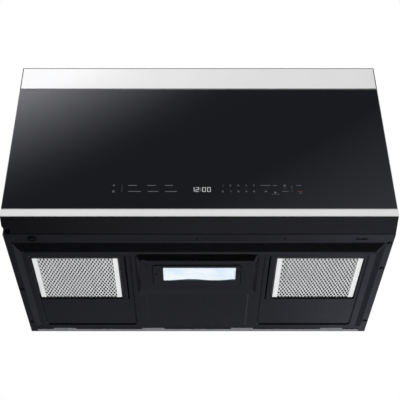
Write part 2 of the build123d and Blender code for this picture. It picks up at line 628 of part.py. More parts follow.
with BuildPart() as base_plate:
    block(-INSIDE, INSIDE, CASE_FRONT, BASE_REAR, 0, SHEET)
    for side in (-1, 1):
        tab_x = side * (INSIDE - CORNER_TAB / 2)
        with BuildSketch(Plane.XY):
            with Locations((tab_x, BASE_REAR)):
                Rectangle(CORNER_TAB, 2 * (BASE_REAR_GAP - CORNER_TAB_GAP - CORNER_TAB / 2))
            with Locations((tab_x, -CORNER_TAB_GAP - CORNER_TAB / 2)):
                Circle(CORNER_TAB / 2)
        extrude(amount=SHEET)
    add(deck_form(0, 0))
    add(deck_form(SHEET, SHEET), mode=Mode.SUBTRACT)
    for filter_x in FILTER_CENTRES_X:
        block(
            filter_x - FILTER_OPENING_WIDTH / 2, filter_x + FILTER_OPENING_WIDTH / 2,
            FILTER_CENTRE_Y - FILTER_OPENING_DEPTH / 2,
            FILTER_CENTRE_Y + FILTER_OPENING_DEPTH / 2,
            DECK_Z, 0, Mode.SUBTRACT,
        )
    block(
        LENS_CENTRE_X - LENS_WIDTH / 2, LENS_CENTRE_X + LENS_WIDTH / 2,
        LENS_CENTRE_Y - LENS_DEPTH / 2, LENS_CENTRE_Y + LENS_DEPTH / 2,
        PAN_Z, PAN_Z + SHEET, Mode.SUBTRACT,
    )
    for screw_x, screw_y in COVER_SCREWS:
        post(screw_x, screw_y, SCREW_SHANK_RADIUS + SCREW_HOLE_PLAY, PAN_Z, PAN_Z + SHEET, Mode.SUBTRACT)
    for hole_x in LOCATING_HOLES_X:
        post(hole_x, LOCATING_HOLE_Y, LOCATING_HOLE_RADIUS, PAN_Z, PAN_Z + SHEET, Mode.SUBTRACT)
    for hole_x, hole_radius in RIM_HOLES:
        post(hole_x, CASE_FRONT + RIM_HOLE_SETBACK, hole_radius, 0, SHEET, Mode.SUBTRACT)
    post(PLUG_X, CASE_FRONT + RIM_HOLE_SETBACK, PLUG_RADIUS / 2, 0, SHEET, Mode.SUBTRACT)
    with BuildSketch(Plane.XY):
        with Locations((KEY_SLOT_X, CASE_FRONT + RIM_HOLE_SETBACK)):
            SlotOverall(KEY_SLOT_LENGTH, KEY_SLOT_WIDTH)
    extrude(amount=SHEET, mode=Mode.SUBTRACT)
    for screw_x, screw_y in RIM_SCREWS:
        post(screw_x, screw_y, SCREW_SHANK_RADIUS + SCREW_HOLE_PLAY, 0, SHEET, Mode.SUBTRACT)
base_plate.part.label = "base_plate"
export_step(base_plate.part, "parts/base_plate.step")

with BuildPart() as underside_screws:
    for screw_x, screw_y in RIM_SCREWS:
        post(screw_x, screw_y, SCREW_HEAD_RADIUS, -SCREW_HEAD_HEIGHT, 0)
        post(screw_x, screw_y, SCREW_SHANK_RADIUS, 0, SCREW_LENGTH)
    for screw_x, screw_y in COVER_SCREWS:
        post(screw_x, screw_y, COVER_SCREW_RADIUS, LAMP_PLATE_BOTTOM - COVER_SCREW_HEAD, LAMP_PLATE_BOTTOM)
        post(screw_x, screw_y, SCREW_SHANK_RADIUS, LAMP_PLATE_BOTTOM, PAN_Z + SCREW_LENGTH)
    post(PLUG_X, CASE_FRONT + RIM_HOLE_SETBACK, PLUG_RADIUS, -PLUG_HEIGHT, 0)
    dish = (-PLUG_HEIGHT, PLUG_DISH_DEPTH - PLUG_HEIGHT)
    post(PLUG_X, CASE_FRONT + RIM_HOLE_SETBACK, PLUG_DISH_RADIUS, *dish, Mode.SUBTRACT)
    post(PLUG_X, CASE_FRONT + RIM_HOLE_SETBACK, PLUG_MIDDLE_RADIUS, *dish)
    post(PLUG_X, CASE_FRONT + RIM_HOLE_SETBACK, PLUG_RADIUS / 2, 0, SCREW_LENGTH)
underside_screws.part.label = "underside_screws"
export_step(underside_screws.part, "parts/underside_screws.step")

with BuildPart() as front_plate:
    block(-INSIDE, INSIDE, CASE_FRONT, PLATE_BACK, SHEET, HEIGHT - SHEET)
    block(
        CAVITY_LEFT + CAVITY_SHEET, CAVITY_RIGHT - CAVITY_SHEET, CASE_FRONT, PLATE_BACK,
        FLOOR_TOP, CAVITY_TOP - CAVITY_SHEET, Mode.SUBTRACT,
    )
    block(
        CHARCOAL_LAP - CHARCOAL_WIDTH / 2, CHARCOAL_WIDTH / 2 - CHARCOAL_LAP, CASE_FRONT, PLATE_BACK,
        CHARCOAL_Z - CHARCOAL_HEIGHT / 2 + CHARCOAL_LAP, CHARCOAL_Z + CHARCOAL_HEIGHT / 2 - CHARCOAL_LAP,
        Mode.SUBTRACT,
    )
    for hook_z in HOOK_HEIGHTS:
        block(
            LATCH_X - HOOK_WIDTH / 2 - LATCH_PLAY, LATCH_X + HOOK_WIDTH / 2 + 2 * LATCH_PLAY,
            CASE_FRONT, PLATE_BACK,
            hook_z - HOOK_DEPTH / 2 - BARB_DROP - LATCH_PLAY,
            hook_z + HOOK_DEPTH / 2 + LATCH_LIFT + LATCH_PLAY, Mode.SUBTRACT,
        )
    for bracket_z in (LOWER_BRACKET_Z, FASCIA_BOTTOM + DOOR_WALL):
        block(
            PIN_X - BRACKET_WIDTH / 2, PIN_X + BRACKET_WIDTH / 2, CASE_FRONT, PLATE_BACK,
            bracket_z, bracket_z + BRACKET_THICKNESS, Mode.SUBTRACT,
        )
front_plate.part.label = "front_plate"
export_step(front_plate.part, "parts/front_plate.step")

with BuildPart() as fascia_panel:
    block(-HALF, HALF, GLASS_FRONT, GLASS_BACK, FASCIA_BOTTOM, HEIGHT)
fascia_panel.part.label = "fascia_panel"
export_step(fascia_panel.part, "parts/fascia_panel.step")

with BuildPart() as fascia_frame:
    block(-INSIDE, INSIDE, GLASS_BACK, CASE_FRONT, FASCIA_BOTTOM, HEIGHT)
    block(
        DOOR_WALL - INSIDE, INSIDE - DOOR_WALL, GLASS_BACK, CASE_FRONT,
        FASCIA_BOTTOM + DOOR_WALL, HEIGHT - DOOR_WALL, Mode.SUBTRACT,
    )
    with BuildSketch(Plane.XY.offset(HEIGHT - DOOR_WALL)):
        with Locations((0, (GLASS_BACK + CASE_FRONT) / 2)):
            with GridLocations(LOUVRE_PITCH, 0, LOUVRE_COUNT, 1):
                Rectangle(LOUVRE_SLOT, LOUVRE_LENGTH)
    extrude(amount=DOOR_WALL, mode=Mode.SUBTRACT)
    post(PIN_X, PIN_Y, PIN_RADIUS + PIN_TIP_GAP, FASCIA_BOTTOM, FASCIA_BOTTOM + DOOR_WALL, Mode.SUBTRACT)
fascia_frame.part.label = "fascia_frame"
export_step(fascia_frame.part, "parts/fascia_frame.step")

with BuildPart() as charcoal_filter:
    block(
        -CHARCOAL_WIDTH / 2, CHARCOAL_WIDTH / 2, PLATE_BACK, PLATE_BACK + CHARCOAL_THICKNESS,
        CHARCOAL_Z - CHARCOAL_HEIGHT / 2, CHARCOAL_Z + CHARCOAL_HEIGHT / 2,
    )
    front_rim = charcoal_filter.faces().sort_by(Axis.Y)[0].edges()
    chamfer(front_rim, length=CHARCOAL_BEVEL)
charcoal_filter.part.label = "charcoal_filter"
export_step(charcoal_filter.part, "parts/charcoal_filter.step")

with BuildPart() as exhaust_cover:
    block(
        -EXHAUST_WIDTH / 2 - EXHAUST_LAP, EXHAUST_WIDTH / 2 + EXHAUST_LAP,
        EXHAUST_Y - EXHAUST_DEPTH / 2 - EXHAUST_LAP, EXHAUST_Y + EXHAUST_DEPTH / 2 + EXHAUST_LAP,
        HEIGHT - 2 * SHEET, HEIGHT - SHEET,
    )
    corners = exhaust_cover.edges().filter_by(Axis.Z)
    fillet(corners, radius=EXHAUST_LAP / 2)
exhaust_cover.part.label = "exhaust_cover"
export_step(exhaust_cover.part, "parts/exhaust_cover.step")

with BuildPart() as cord_grommet:
    post(CORD_X, CORD_Y, GROMMET_RADIUS, HEIGHT - SHEET, HEIGHT)
    post(
        CORD_X, CORD_Y, GROMMET_RADIUS + GROMMET_FLANGE,
        HEIGHT - SHEET - GROMMET_DEPTH, HEIGHT - SHEET,
    )
    post(CORD_X, CORD_Y, GROMMET_BORE, HEIGHT - SHEET - GROMMET_DEPTH, HEIGHT, Mode.SUBTRACT)
cord_grommet.part.label = "cord_grommet"
export_step(cord_grommet.part, "parts/cord_grommet.step")

with BuildPart() as component_shelf:
    block(CAVITY_RIGHT, INSIDE, PLATE_BACK, -SHELF_REAR_GAP, CAVITY_FLOOR - SHEET, CAVITY_FLOOR)
    block(
        CAVITY_RIGHT, INSIDE, -SHELF_REAR_GAP - SHEET, -SHELF_REAR_GAP,
        CAVITY_FLOOR, CAVITY_FLOOR + SHELF_LIP,
    )
component_shelf.part.label = "component_shelf"
export_step(component_shelf.part, "parts/component_shelf.step")

# ---------------------------------------------------------------- grease filters

for side_name, centre_x in zip(("left", "right"), FILTER_CENTRES_X):
    half_x = FILTER_OPENING_WIDTH / 2 - FILTER_SIDE_GAP
    half_y = FILTER_OPENING_DEPTH / 2 + FILTER_LAP
    filter_top = FILTER_BOTTOM + FILTER_THICKNESS
    with BuildPart() as filter_frame:
        block(
            centre_x - half_x, centre_x + half_x,
            FILTER_CENTRE_Y - half_y, FILTER_CENTRE_Y + half_y, FILTER_BOTTOM, filter_top,
        )
        block(
            centre_x - half_x + FILTER_END_RAIL, centre_x + half_x - FILTER_END_RAIL,
            FILTER_CENTRE_Y - half_y + FILTER_SIDE_RAIL, FILTER_CENTRE_Y + half_y - FILTER_SIDE_RAIL,
            FILTER_BOTTOM, filter_top, Mode.SUBTRACT,
        )
        upright_edges = filter_frame.edges().filter_by(Axis.Z)
        fillet(upright_edges.group_by(Axis.X)[0], radius=FILTER_CORNER)
        fillet(filter_frame.edges().filter_by(Axis.Z).group_by(Axis.X)[-1], radius=FILTER_CORNER)
    filter_frame.part.label = f"filter_frame_{side_name}"
    export_step(filter_frame.part, f"parts/filter_frame_{side_name}.step")
    with BuildPart() as filter_mesh:
        block(
            centre_x - half_x + FILTER_END_RAIL, centre_x + half_x - FILTER_END_RAIL,
            FILTER_CENTRE_Y - half_y + FILTER_SIDE_RAIL, FILTER_CENTRE_Y + half_y - FILTER_SIDE_RAIL,
            FILTER_BOTTOM + MESH_INSET, filter_top - MESH_INSET,
        )
    filter_mesh.part.label = f"filter_mesh_{side_name}"
    export_step(filter_mesh.part, f"parts/filter_mesh_{side_name}.step")

# ---------------------------------------------------------------- cooktop lamp

with BuildPart() as lamp_cover:
    with BuildSketch(Plane.XY.offset(LAMP_PLATE_BOTTOM)):
        with Locations((LAMP_CENTRE_X, LAMP_CENTRE_Y)):
            RectangleRounded(LAMP_COVER_WIDTH, LAMP_COVER_DEPTH, LAMP_COVER_CORNER)
        with Locations((LENS_CENTRE_X, LENS_CENTRE_Y)):
            RectangleRounded(LENS_WIDTH, LENS_DEPTH, LENS_CORNER, mode=Mode.SUBTRACT)
        with Locations(*COVER_SCREWS):
            Circle(SCREW_SHANK_RADIUS + SCREW_HOLE_PLAY, mode=Mode.SUBTRACT)
    extrude(amount=LAMP_COVER_THICKNESS)
lamp_cover.part.label = "lamp_cover"
export_step(lamp_cover.part, "parts/lamp_cover.step")

with BuildPart() as lamp_lens:
    with BuildSketch(Plane.XY.offset(LAMP_PLATE_BOTTOM)):
        with Locations((LENS_CENTRE_X, LENS_CENTRE_Y)):
            RectangleRounded(LENS_WIDTH - 2 * LENS_FIT, LENS_DEPTH - 2 * LENS_FIT, LENS_CORNER - LENS_FIT)
    extrude(amount=LAMP_COVER_THICKNESS + SHEET)
    with BuildSketch(Plane.XY.offset(PAN_Z + SHEET)):
        with Locations((LENS_CENTRE_X, LENS_CENTRE_Y)):
            Rectangle(LENS_WIDTH + 2 * LENS_LAP, LENS_DEPTH + 2 * LENS_LAP)
    extrude(amount=LENS_THICKNESS - SHEET)
lamp_lens.part.label = "lamp_lens"
export_step(lamp_lens.part, "parts/lamp_lens.step")

HOUSING_X = LENS_WIDTH / 2 + LENS_LAP + LAMP_HOUSING_WALL + SEAT_GAP
HOUSING_Y = LENS_DEPTH / 2 + LENS_LAP + LAMP_HOUSING_WALL + SEAT_GAP
HOUSING_TOP = PAN_Z + SHEET + LAMP_HOUSING_HEIGHT

with BuildPart() as lamp_housing:
    block(
        LENS_CENTRE_X - HOUSING_X, LENS_CENTRE_X + HOUSING_X,
        LENS_CENTRE_Y - HOUSING_Y, LENS_CENTRE_Y + HOUSING_Y, PAN_Z + SHEET, HOUSING_TOP,
    )
    block(
        LENS_CENTRE_X - HOUSING_X + LAMP_HOUSING_WALL, LENS_CENTRE_X + HOUSING_X - LAMP_HOUSING_WALL,
        LENS_CENTRE_Y - HOUSING_Y + LAMP_HOUSING_WALL, LENS_CENTRE_Y + HOUSING_Y - LAMP_HOUSING_WALL,
        PAN_Z + SHEET, HOUSING_TOP - LAMP_HOUSING_WALL, Mode.SUBTRACT,
    )
lamp_housing.part.label = "lamp_housing"
export_step(lamp_housing.part, "parts/lamp_housing.step")

with BuildPart() as lamp_board:
    board_bottom = HOUSING_TOP - LAMP_HOUSING_WALL - BOARD_THICKNESS
    block(
        LENS_CENTRE_X - LENS_WIDTH / 2, LENS_CENTRE_X + LENS_WIDTH / 2,
        LENS_CENTRE_Y - LAMP_BOARD_DEPTH / 2, LENS_CENTRE_Y + LAMP_BOARD_DEPTH / 2,
        board_bottom, board_bottom + BOARD_THICKNESS,
    )
    with BuildSketch(Plane.XY.offset(board_bottom - LED_HEIGHT)):
        with Locations((LENS_CENTRE_X, LENS_CENTRE_Y)):
            with GridLocations(LED_PITCH, 0, LED_COUNT, 1):
                Rectangle(LED_SIZE, LED_SIZE)
    extrude(amount=LED_HEIGHT)
lamp_board.part.label = "lamp_board"
export_step(lamp_board.part, "parts/lamp_board.step")

# ---------------------------------------------------------------- oven cavity

with BuildPart() as oven_cavity:
    block(CAVITY_LEFT, CAVITY_RIGHT, PLATE_BACK, CAVITY_BACK, CAVITY_FLOOR, CAVITY_TOP)
    block(
        CAVITY_LEFT + CAVITY_SHEET, CAVITY_RIGHT - CAVITY_SHEET,
        PLATE_BACK, CAVITY_BACK - CAVITY_SHEET,
        FLOOR_TOP, CAVITY_TOP - CAVITY_SHEET, Mode.SUBTRACT,
    )
    shaft_hole = DRIVE_SHAFT_RADIUS + SHAFT_HOLE_PLAY
    post(TURNTABLE_X, TURNTABLE_Y, shaft_hole, CAVITY_FLOOR, FLOOR_TOP, Mode.SUBTRACT)
    block(
        CAVITY_RIGHT - CAVITY_SHEET, CAVITY_RIGHT,
        WAVEGUIDE_CENTRE_Y - FEED_WIDTH / 2, WAVEGUIDE_CENTRE_Y + FEED_WIDTH / 2,
        WAVEGUIDE_CENTRE_Z - FEED_HEIGHT / 2, WAVEGUIDE_CENTRE_Z + FEED_HEIGHT / 2, Mode.SUBTRACT,
    )
    with BuildSketch(Plane.YZ.offset(CAVITY_RIGHT - CAVITY_SHEET)):
        with Locations((CAVITY_LAMP_Y, CAVITY_LAMP_Z)):
            with GridLocations(LAMP_HOLE_PITCH, LAMP_HOLE_PITCH, *LAMP_HOLES):
                Circle(LAMP_HOLE_RADIUS)
    extrude(amount=CAVITY_SHEET, mode=Mode.SUBTRACT)
    with BuildSketch(Plane.YZ.offset(CAVITY_LEFT)):
        with Locations(((PLATE_BACK + CAVITY_BACK) / 2, CAVITY_TOP - VENT_HOLE_DROP)):
            with GridLocations(VENT_HOLE_PITCH, VENT_HOLE_PITCH, *VENT_HOLES):
                Circle(VENT_HOLE_RADIUS)
    extrude(amount=CAVITY_SHEET, mode=Mode.SUBTRACT)
oven_cavity.part.label = "oven_cavity"
export_step(oven_cavity.part, "parts/oven_cavity.step")

with BuildPart() as waveguide_cover:
    block(
        CAVITY_RIGHT - CAVITY_SHEET - FEED_COVER_THICKNESS, CAVITY_RIGHT - CAVITY_SHEET,
        WAVEGUIDE_CENTRE_Y - FEED_WIDTH / 2 - FEED_COVER_LAP,
        WAVEGUIDE_CENTRE_Y + FEED_WIDTH / 2 + FEED_COVER_LAP,
        WAVEGUIDE_CENTRE_Z - FEED_HEIGHT / 2 - FEED_COVER_LAP,
        WAVEGUIDE_CENTRE_Z + FEED_HEIGHT / 2 + FEED_COVER_LAP,
    )
    corners = waveguide_cover.edges().filter_by(Axis.X)
    fillet(corners, radius=FEED_COVER_LAP / 2)
waveguide_cover.part.label = "waveguide_cover"
export_step(waveguide_cover.part, "parts/waveguide_cover.step")

WAVEGUIDE_RIGHT = CAVITY_RIGHT + WAVEGUIDE_WIDTH
WAVEGUIDE_Y = (WAVEGUIDE_CENTRE_Y - WAVEGUIDE_DEPTH / 2, WAVEGUIDE_CENTRE_Y + WAVEGUIDE_DEPTH / 2)
WAVEGUIDE_Z = (WAVEGUIDE_CENTRE_Z - WAVEGUIDE_HEIGHT / 2, WAVEGUIDE_CENTRE_Z + WAVEGUIDE_HEIGHT / 2)

with BuildPart() as waveguide:
    block(CAVITY_RIGHT, WAVEGUIDE_RIGHT, *WAVEGUIDE_Y, *WAVEGUIDE_Z)
    block(
        CAVITY_RIGHT, WAVEGUIDE_RIGHT - WAVEGUIDE_WALL,
        WAVEGUIDE_Y[0] + WAVEGUIDE_WALL, WAVEGUIDE_Y[1] - WAVEGUIDE_WALL,
        WAVEGUIDE_Z[0] + WAVEGUIDE_WALL, WAVEGUIDE_Z[1] - WAVEGUIDE_WALL, Mode.SUBTRACT,
    )
    rod_x(
        WAVEGUIDE_CENTRE_Y, WAVEGUIDE_CENTRE_Z, ANTENNA_RADIUS + ANTENNA_HOLE_PLAY,
        WAVEGUIDE_RIGHT - WAVEGUIDE_WALL, WAVEGUIDE_RIGHT, Mode.SUBTRACT,
    )
waveguide.part.label = "waveguide"
export_step(waveguide.part, "parts/waveguide.step")

MAGNETRON_RIGHT = WAVEGUIDE_RIGHT + MAGNETRON_LENGTH
MAGNETRON_BOX_X = MAGNETRON_RIGHT - MAGNETRON_BOX_LENGTH

with BuildPart() as magnetron:
    for plate_x in (WAVEGUIDE_RIGHT, MAGNETRON_BOX_X - MAGNETRON_PLATE):
        block(
            plate_x, plate_x + MAGNETRON_PLATE,
            WAVEGUIDE_CENTRE_Y - MAGNETRON_SIZE / 2, WAVEGUIDE_CENTRE_Y + MAGNETRON_SIZE / 2,
            WAVEGUIDE_CENTRE_Z - MAGNETRON_SIZE / 2, WAVEGUIDE_CENTRE_Z + MAGNETRON_SIZE / 2,
        )
    for edge_z in (-1, 1):
        yoke_z = WAVEGUIDE_CENTRE_Z + edge_z * (MAGNETRON_SIZE - MAGNETRON_PLATE) / 2
        block(
            WAVEGUIDE_RIGHT, MAGNETRON_BOX_X,
            WAVEGUIDE_CENTRE_Y - MAGNETRON_SIZE / 2, WAVEGUIDE_CENTRE_Y + MAGNETRON_SIZE / 2,
            yoke_z - MAGNETRON_PLATE / 2, yoke_z + MAGNETRON_PLATE / 2,
        )
    rod_x(
        WAVEGUIDE_CENTRE_Y, WAVEGUIDE_CENTRE_Z, MAGNETRON_CORE_RADIUS,
        WAVEGUIDE_RIGHT, MAGNETRON_BOX_X,
    )
    for fin in range(FIN_COUNT):
        fin_x = WAVEGUIDE_RIGHT + MAGNETRON_PLATE + (fin + 1) * FIN_PITCH
        block(
            fin_x, fin_x + FIN_THICKNESS,
            WAVEGUIDE_CENTRE_Y - MAGNETRON_SIZE / 2, WAVEGUIDE_CENTRE_Y + MAGNETRON_SIZE / 2,
            WAVEGUIDE_CENTRE_Z - MAGNETRON_SIZE / 2 + MAGNETRON_PLATE,
            WAVEGUIDE_CENTRE_Z + MAGNETRON_SIZE / 2 - MAGNETRON_PLATE,
        )
    block(
        MAGNETRON_BOX_X, MAGNETRON_RIGHT,
        WAVEGUIDE_CENTRE_Y - MAGNETRON_BOX_SIZE / 2, WAVEGUIDE_CENTRE_Y + MAGNETRON_BOX_SIZE / 2,
        WAVEGUIDE_CENTRE_Z - MAGNETRON_BOX_SIZE / 2, WAVEGUIDE_CENTRE_Z + MAGNETRON_BOX_SIZE / 2,
    )
    rod_x(
        WAVEGUIDE_CENTRE_Y, WAVEGUIDE_CENTRE_Z, ANTENNA_RADIUS,
        WAVEGUIDE_RIGHT - ANTENNA_LENGTH, WAVEGUIDE_RIGHT,
    )
magnetron.part.label = "magnetron"
export_step(magnetron.part, "parts/magnetron.step")

with BuildPart() as hv_transformer:
    core = (
        TRANSFORMER_X - TRANSFORMER_WIDTH / 2, TRANSFORMER_X + TRANSFORMER_WIDTH / 2,
        TRANSFORMER_Y - TRANSFORMER_DEPTH / 2, TRANSFORMER_Y + TRANSFORMER_DEPTH / 2,
    )
    block(*core, CAVITY_FLOOR, CAVITY_FLOOR + TRANSFORMER_HEIGHT)
    for coil_level in COIL_LEVELS:
        with BuildSketch(Plane.XY.offset(CAVITY_FLOOR + coil_level - COIL_HEIGHT / 2)):
            with Locations((TRANSFORMER_X, TRANSFORMER_Y)):
                RectangleRounded(COIL_WIDTH, TRANSFORMER_DEPTH + 2 * COIL_OVERHANG, COIL_OVERHANG)
        extrude(amount=COIL_HEIGHT)
hv_transformer.part.label = "hv_transformer"
export_step(hv_transformer.part, "parts/hv_transformer.step")

with BuildPart() as hv_capacitor:
    with BuildSketch(Plane.XY.offset(CAVITY_FLOOR)):
        with Locations((CAPACITOR_X, CAPACITOR_Y)):
            SlotOverall(CAPACITOR_WIDTH, CAPACITOR_THICKNESS)
    extrude(amount=CAPACITOR_HEIGHT)
    with BuildSketch(Plane.XY.offset(CAVITY_FLOOR + CAPACITOR_HEIGHT)):
        with Locations((CAPACITOR_X, CAPACITOR_Y)):
            with GridLocations(TAB_SPACING, 0, 2, 1):
                Rectangle(TAB_WIDTH, TAB_THICKNESS)
    extrude(amount=TAB_HEIGHT)
hv_capacitor.part.label = "hv_capacitor"
export_step(hv_capacitor.part, "parts/hv_capacitor.step")

# ---------------------------------------------------------------- cooling fan

FAN_BACK_Y = FAN_FRONT_Y + FAN_DEPTH

with BuildPart() as cooling_fan_frame:
    block(
        FAN_X - FAN_SIZE / 2, FAN_X + FAN_SIZE / 2, FAN_FRONT_Y, FAN_BACK_Y,
        FAN_Z - FAN_SIZE / 2, FAN_Z + FAN_SIZE / 2,
    )
    rod_y(FAN_X, FAN_Z, FAN_BORE, FAN_FRONT_Y, FAN_BACK_Y, Mode.SUBTRACT)
    block(
        FAN_X - FAN_SIZE / 2, FAN_X + FAN_SIZE / 2, FAN_BACK_Y - FAN_BAR, FAN_BACK_Y,
        FAN_Z - FAN_BAR_WIDTH / 2, FAN_Z + FAN_BAR_WIDTH / 2,
    )
    block(
        FAN_X - FAN_BAR_WIDTH / 2, FAN_X + FAN_BAR_WIDTH / 2, FAN_BACK_Y - FAN_BAR, FAN_BACK_Y,
        FAN_Z - FAN_SIZE / 2, FAN_Z + FAN_SIZE / 2,
    )
    rod_y(
        FAN_X, FAN_Z, FAN_SHAFT_RADIUS + SHAFT_END_GAP, FAN_BACK_Y - FAN_BAR, FAN_BACK_Y, Mode.SUBTRACT,
    )
    for corner_x in (-1, 1):
        for corner_z in (-1, 1):
            leg_x = FAN_X + corner_x * (FAN_SIZE - FAN_LEG) / 2
            leg_z = FAN_Z + corner_z * (FAN_SIZE - FAN_LEG) / 2
            block(
                leg_x - FAN_LEG / 2, leg_x + FAN_LEG / 2, FAN_BACK_Y, -SHEET,
                leg_z - FAN_LEG / 2, leg_z + FAN_LEG / 2,
            )
cooling_fan_frame.part.label = "cooling_fan_frame"
export_step(cooling_fan_frame.part, "parts/cooling_fan_frame.step")

with BuildPart() as cooling_fan_motor:
    rod_y(FAN_X, FAN_Z, FAN_MOTOR_RADIUS, FAN_BACK_Y, FAN_BACK_Y + FAN_MOTOR_LENGTH)
    rod_y(
        FAN_X, FAN_Z, FAN_SHAFT_RADIUS + PIN_PLAY,
        FAN_BACK_Y, FAN_BACK_Y + FAN_SHAFT_REACH + SHAFT_END_GAP, Mode.SUBTRACT,
    )
cooling_fan_motor.part.label = "cooling_fan_motor"
export_step(cooling_fan_motor.part, "parts/cooling_fan_motor.step")

BLADE_BACK = FAN_BACK_Y - FAN_BAR - FAN_HUB_GAP
BLADE_FRONT = FAN_FRONT_Y + FAN_HUB_GAP / 2
BLADE_ROOT = FAN_HUB_RADIUS - FAN_HUB_GAP
BLADE_TIP = math.sqrt((FAN_BORE - FAN_TIP_GAP) ** 2 - (FAN_CHORD / 2) ** 2)

with BuildPart() as cooling_fan_blade:
    rod_y(FAN_X, FAN_Z, FAN_HUB_RADIUS, BLADE_FRONT, BLADE_BACK)
    rod_y(FAN_X, FAN_Z, FAN_SHAFT_RADIUS, BLADE_BACK, FAN_BACK_Y + FAN_SHAFT_REACH)
    pitch = math.radians(FAN_BLADE_PITCH)
    for blade in range(FAN_BLADES):
        angle = blade * 2 * math.pi / FAN_BLADES
        outward = Vector(math.cos(angle), 0, math.sin(angle))
        tangent = Vector(-math.sin(angle), 0, math.cos(angle))
        chord = tangent * math.cos(pitch) + Vector(0, math.sin(pitch), 0)
        hub_centre = Vector(FAN_X, (BLADE_FRONT + BLADE_BACK) / 2, FAN_Z)
        blade_plane = Plane(origin=hub_centre + outward * BLADE_ROOT, x_dir=chord, z_dir=outward)
        with BuildSketch(blade_plane) as blade_section:
            Rectangle(FAN_CHORD, FAN_BLADE_THICKNESS)
        extrude(blade_section.sketch, amount=BLADE_TIP - BLADE_ROOT)
cooling_fan_blade.part.label = "cooling_fan_blade"
export_step(cooling_fan_blade.part, "parts/cooling_fan_blade.step")

# ---------------------------------------------------------------- control board and sensors

BOARD_RIGHT = INSIDE - BOARD_STANDOFF
BOARD_LEFT = BOARD_RIGHT - BOARD_THICKNESS

with BuildPart() as control_board:
    board_y = (CONTROL_BOARD_Y - CONTROL_BOARD_LENGTH / 2, CONTROL_BOARD_Y + CONTROL_BOARD_LENGTH / 2)
    block(BOARD_LEFT, BOARD_RIGHT, *board_y, CONTROL_BOARD_Z, CONTROL_BOARD_Z + CONTROL_BOARD_HEIGHT)
    with BuildSketch(Plane.YZ.offset(BOARD_RIGHT)):
        with Locations((CONTROL_BOARD_Y, CONTROL_BOARD_Z + CONTROL_BOARD_HEIGHT / 2)):
            post_span_y = CONTROL_BOARD_LENGTH - 2 * BOARD_POST_INSET
            post_span_z = CONTROL_BOARD_HEIGHT - 2 * BOARD_POST_INSET
            with GridLocations(post_span_y, post_span_z, 2, 2):
                Circle(BOARD_POST_RADIUS)
    extrude(amount=BOARD_STANDOFF)
    with BuildSketch(Plane.YZ.offset(BOARD_LEFT)):
        with Locations((CONTROL_BOARD_Y, CONTROL_BOARD_Z + CONTROL_BOARD_HEIGHT - RELAY_DROP)):
            with GridLocations(RELAY_PITCH, 0, RELAY_COUNT, 1):
                Rectangle(RELAY_WIDTH, RELAY_HEIGHT)
        with Locations((CONTROL_BOARD_Y + POWER_CORE_SHIFT, CONTROL_BOARD_Z + LOWER_PARTS_RISE)):
            Rectangle(POWER_CORE_WIDTH, POWER_CORE_HEIGHT)
        with Locations((CONTROL_BOARD_Y + BOARD_CAN_SHIFT, CONTROL_BOARD_Z + LOWER_PARTS_RISE)):
            Circle(BOARD_CAN_RADIUS)
    extrude(amount=-BOARD_PART_HEIGHT)
control_board.part.label = "control_board"
export_step(control_board.part, "parts/control_board.step")

with BuildPart() as cavity_lamp:
    lamp_box_right = CAVITY_RIGHT + LAMP_BOX_DEPTH
    block(
        CAVITY_RIGHT, lamp_box_right,
        CAVITY_LAMP_Y - LAMP_BOX_LENGTH / 2, CAVITY_LAMP_Y + LAMP_BOX_LENGTH / 2,
        CAVITY_LAMP_Z - LAMP_BOX_HEIGHT / 2, CAVITY_LAMP_Z + LAMP_BOX_HEIGHT / 2,
    )
    rod_x(
        CAVITY_LAMP_Y, CAVITY_LAMP_Z, REFLECTOR_RADIUS,
        CAVITY_RIGHT, CAVITY_RIGHT + REFLECTOR_DEPTH, Mode.SUBTRACT,
    )
    rod_x(
        CAVITY_LAMP_Y, CAVITY_LAMP_Z, BULB_RADIUS,
        CAVITY_RIGHT + BULB_GAP, CAVITY_RIGHT + REFLECTOR_DEPTH,
    )
    rod_x(
        CAVITY_LAMP_Y, CAVITY_LAMP_Z, LAMP_SOCKET_RADIUS,
        lamp_box_right, lamp_box_right + LAMP_BOX_DEPTH,
    )
cavity_lamp.part.label = "cavity_lamp"
export_step(cavity_lamp.part, "parts/cavity_lamp.step")

with BuildPart() as thermal_cutouts:
    side_cutout_end = CAVITY_RIGHT + CUTOUT_HEIGHT
    rod_x(SIDE_CUTOUT_Y, SIDE_CUTOUT_Z, CUTOUT_RADIUS, CAVITY_RIGHT, side_cutout_end)
    block(
        side_cutout_end, side_cutout_end + TAB_HEIGHT,
        SIDE_CUTOUT_Y - TAB_WIDTH / 2, SIDE_CUTOUT_Y + TAB_WIDTH / 2,
        SIDE_CUTOUT_Z - TAB_THICKNESS / 2, SIDE_CUTOUT_Z + TAB_THICKNESS / 2,
    )
    top_cutout_end = CAVITY_TOP + CUTOUT_HEIGHT
    post(TOP_CUTOUT_X, TOP_CUTOUT_Y, CUTOUT_RADIUS, CAVITY_TOP, top_cutout_end)
    block(
        TOP_CUTOUT_X - TAB_WIDTH / 2, TOP_CUTOUT_X + TAB_WIDTH / 2,
        TOP_CUTOUT_Y - TAB_THICKNESS / 2, TOP_CUTOUT_Y + TAB_THICKNESS / 2,
        top_cutout_end, top_cutout_end + TAB_HEIGHT,
    )
thermal_cutouts.part.label = "thermal_cutouts"
export_step(thermal_cutouts.part, "parts/thermal_cutouts.step")

# ---------------------------------------------------------------- turntable

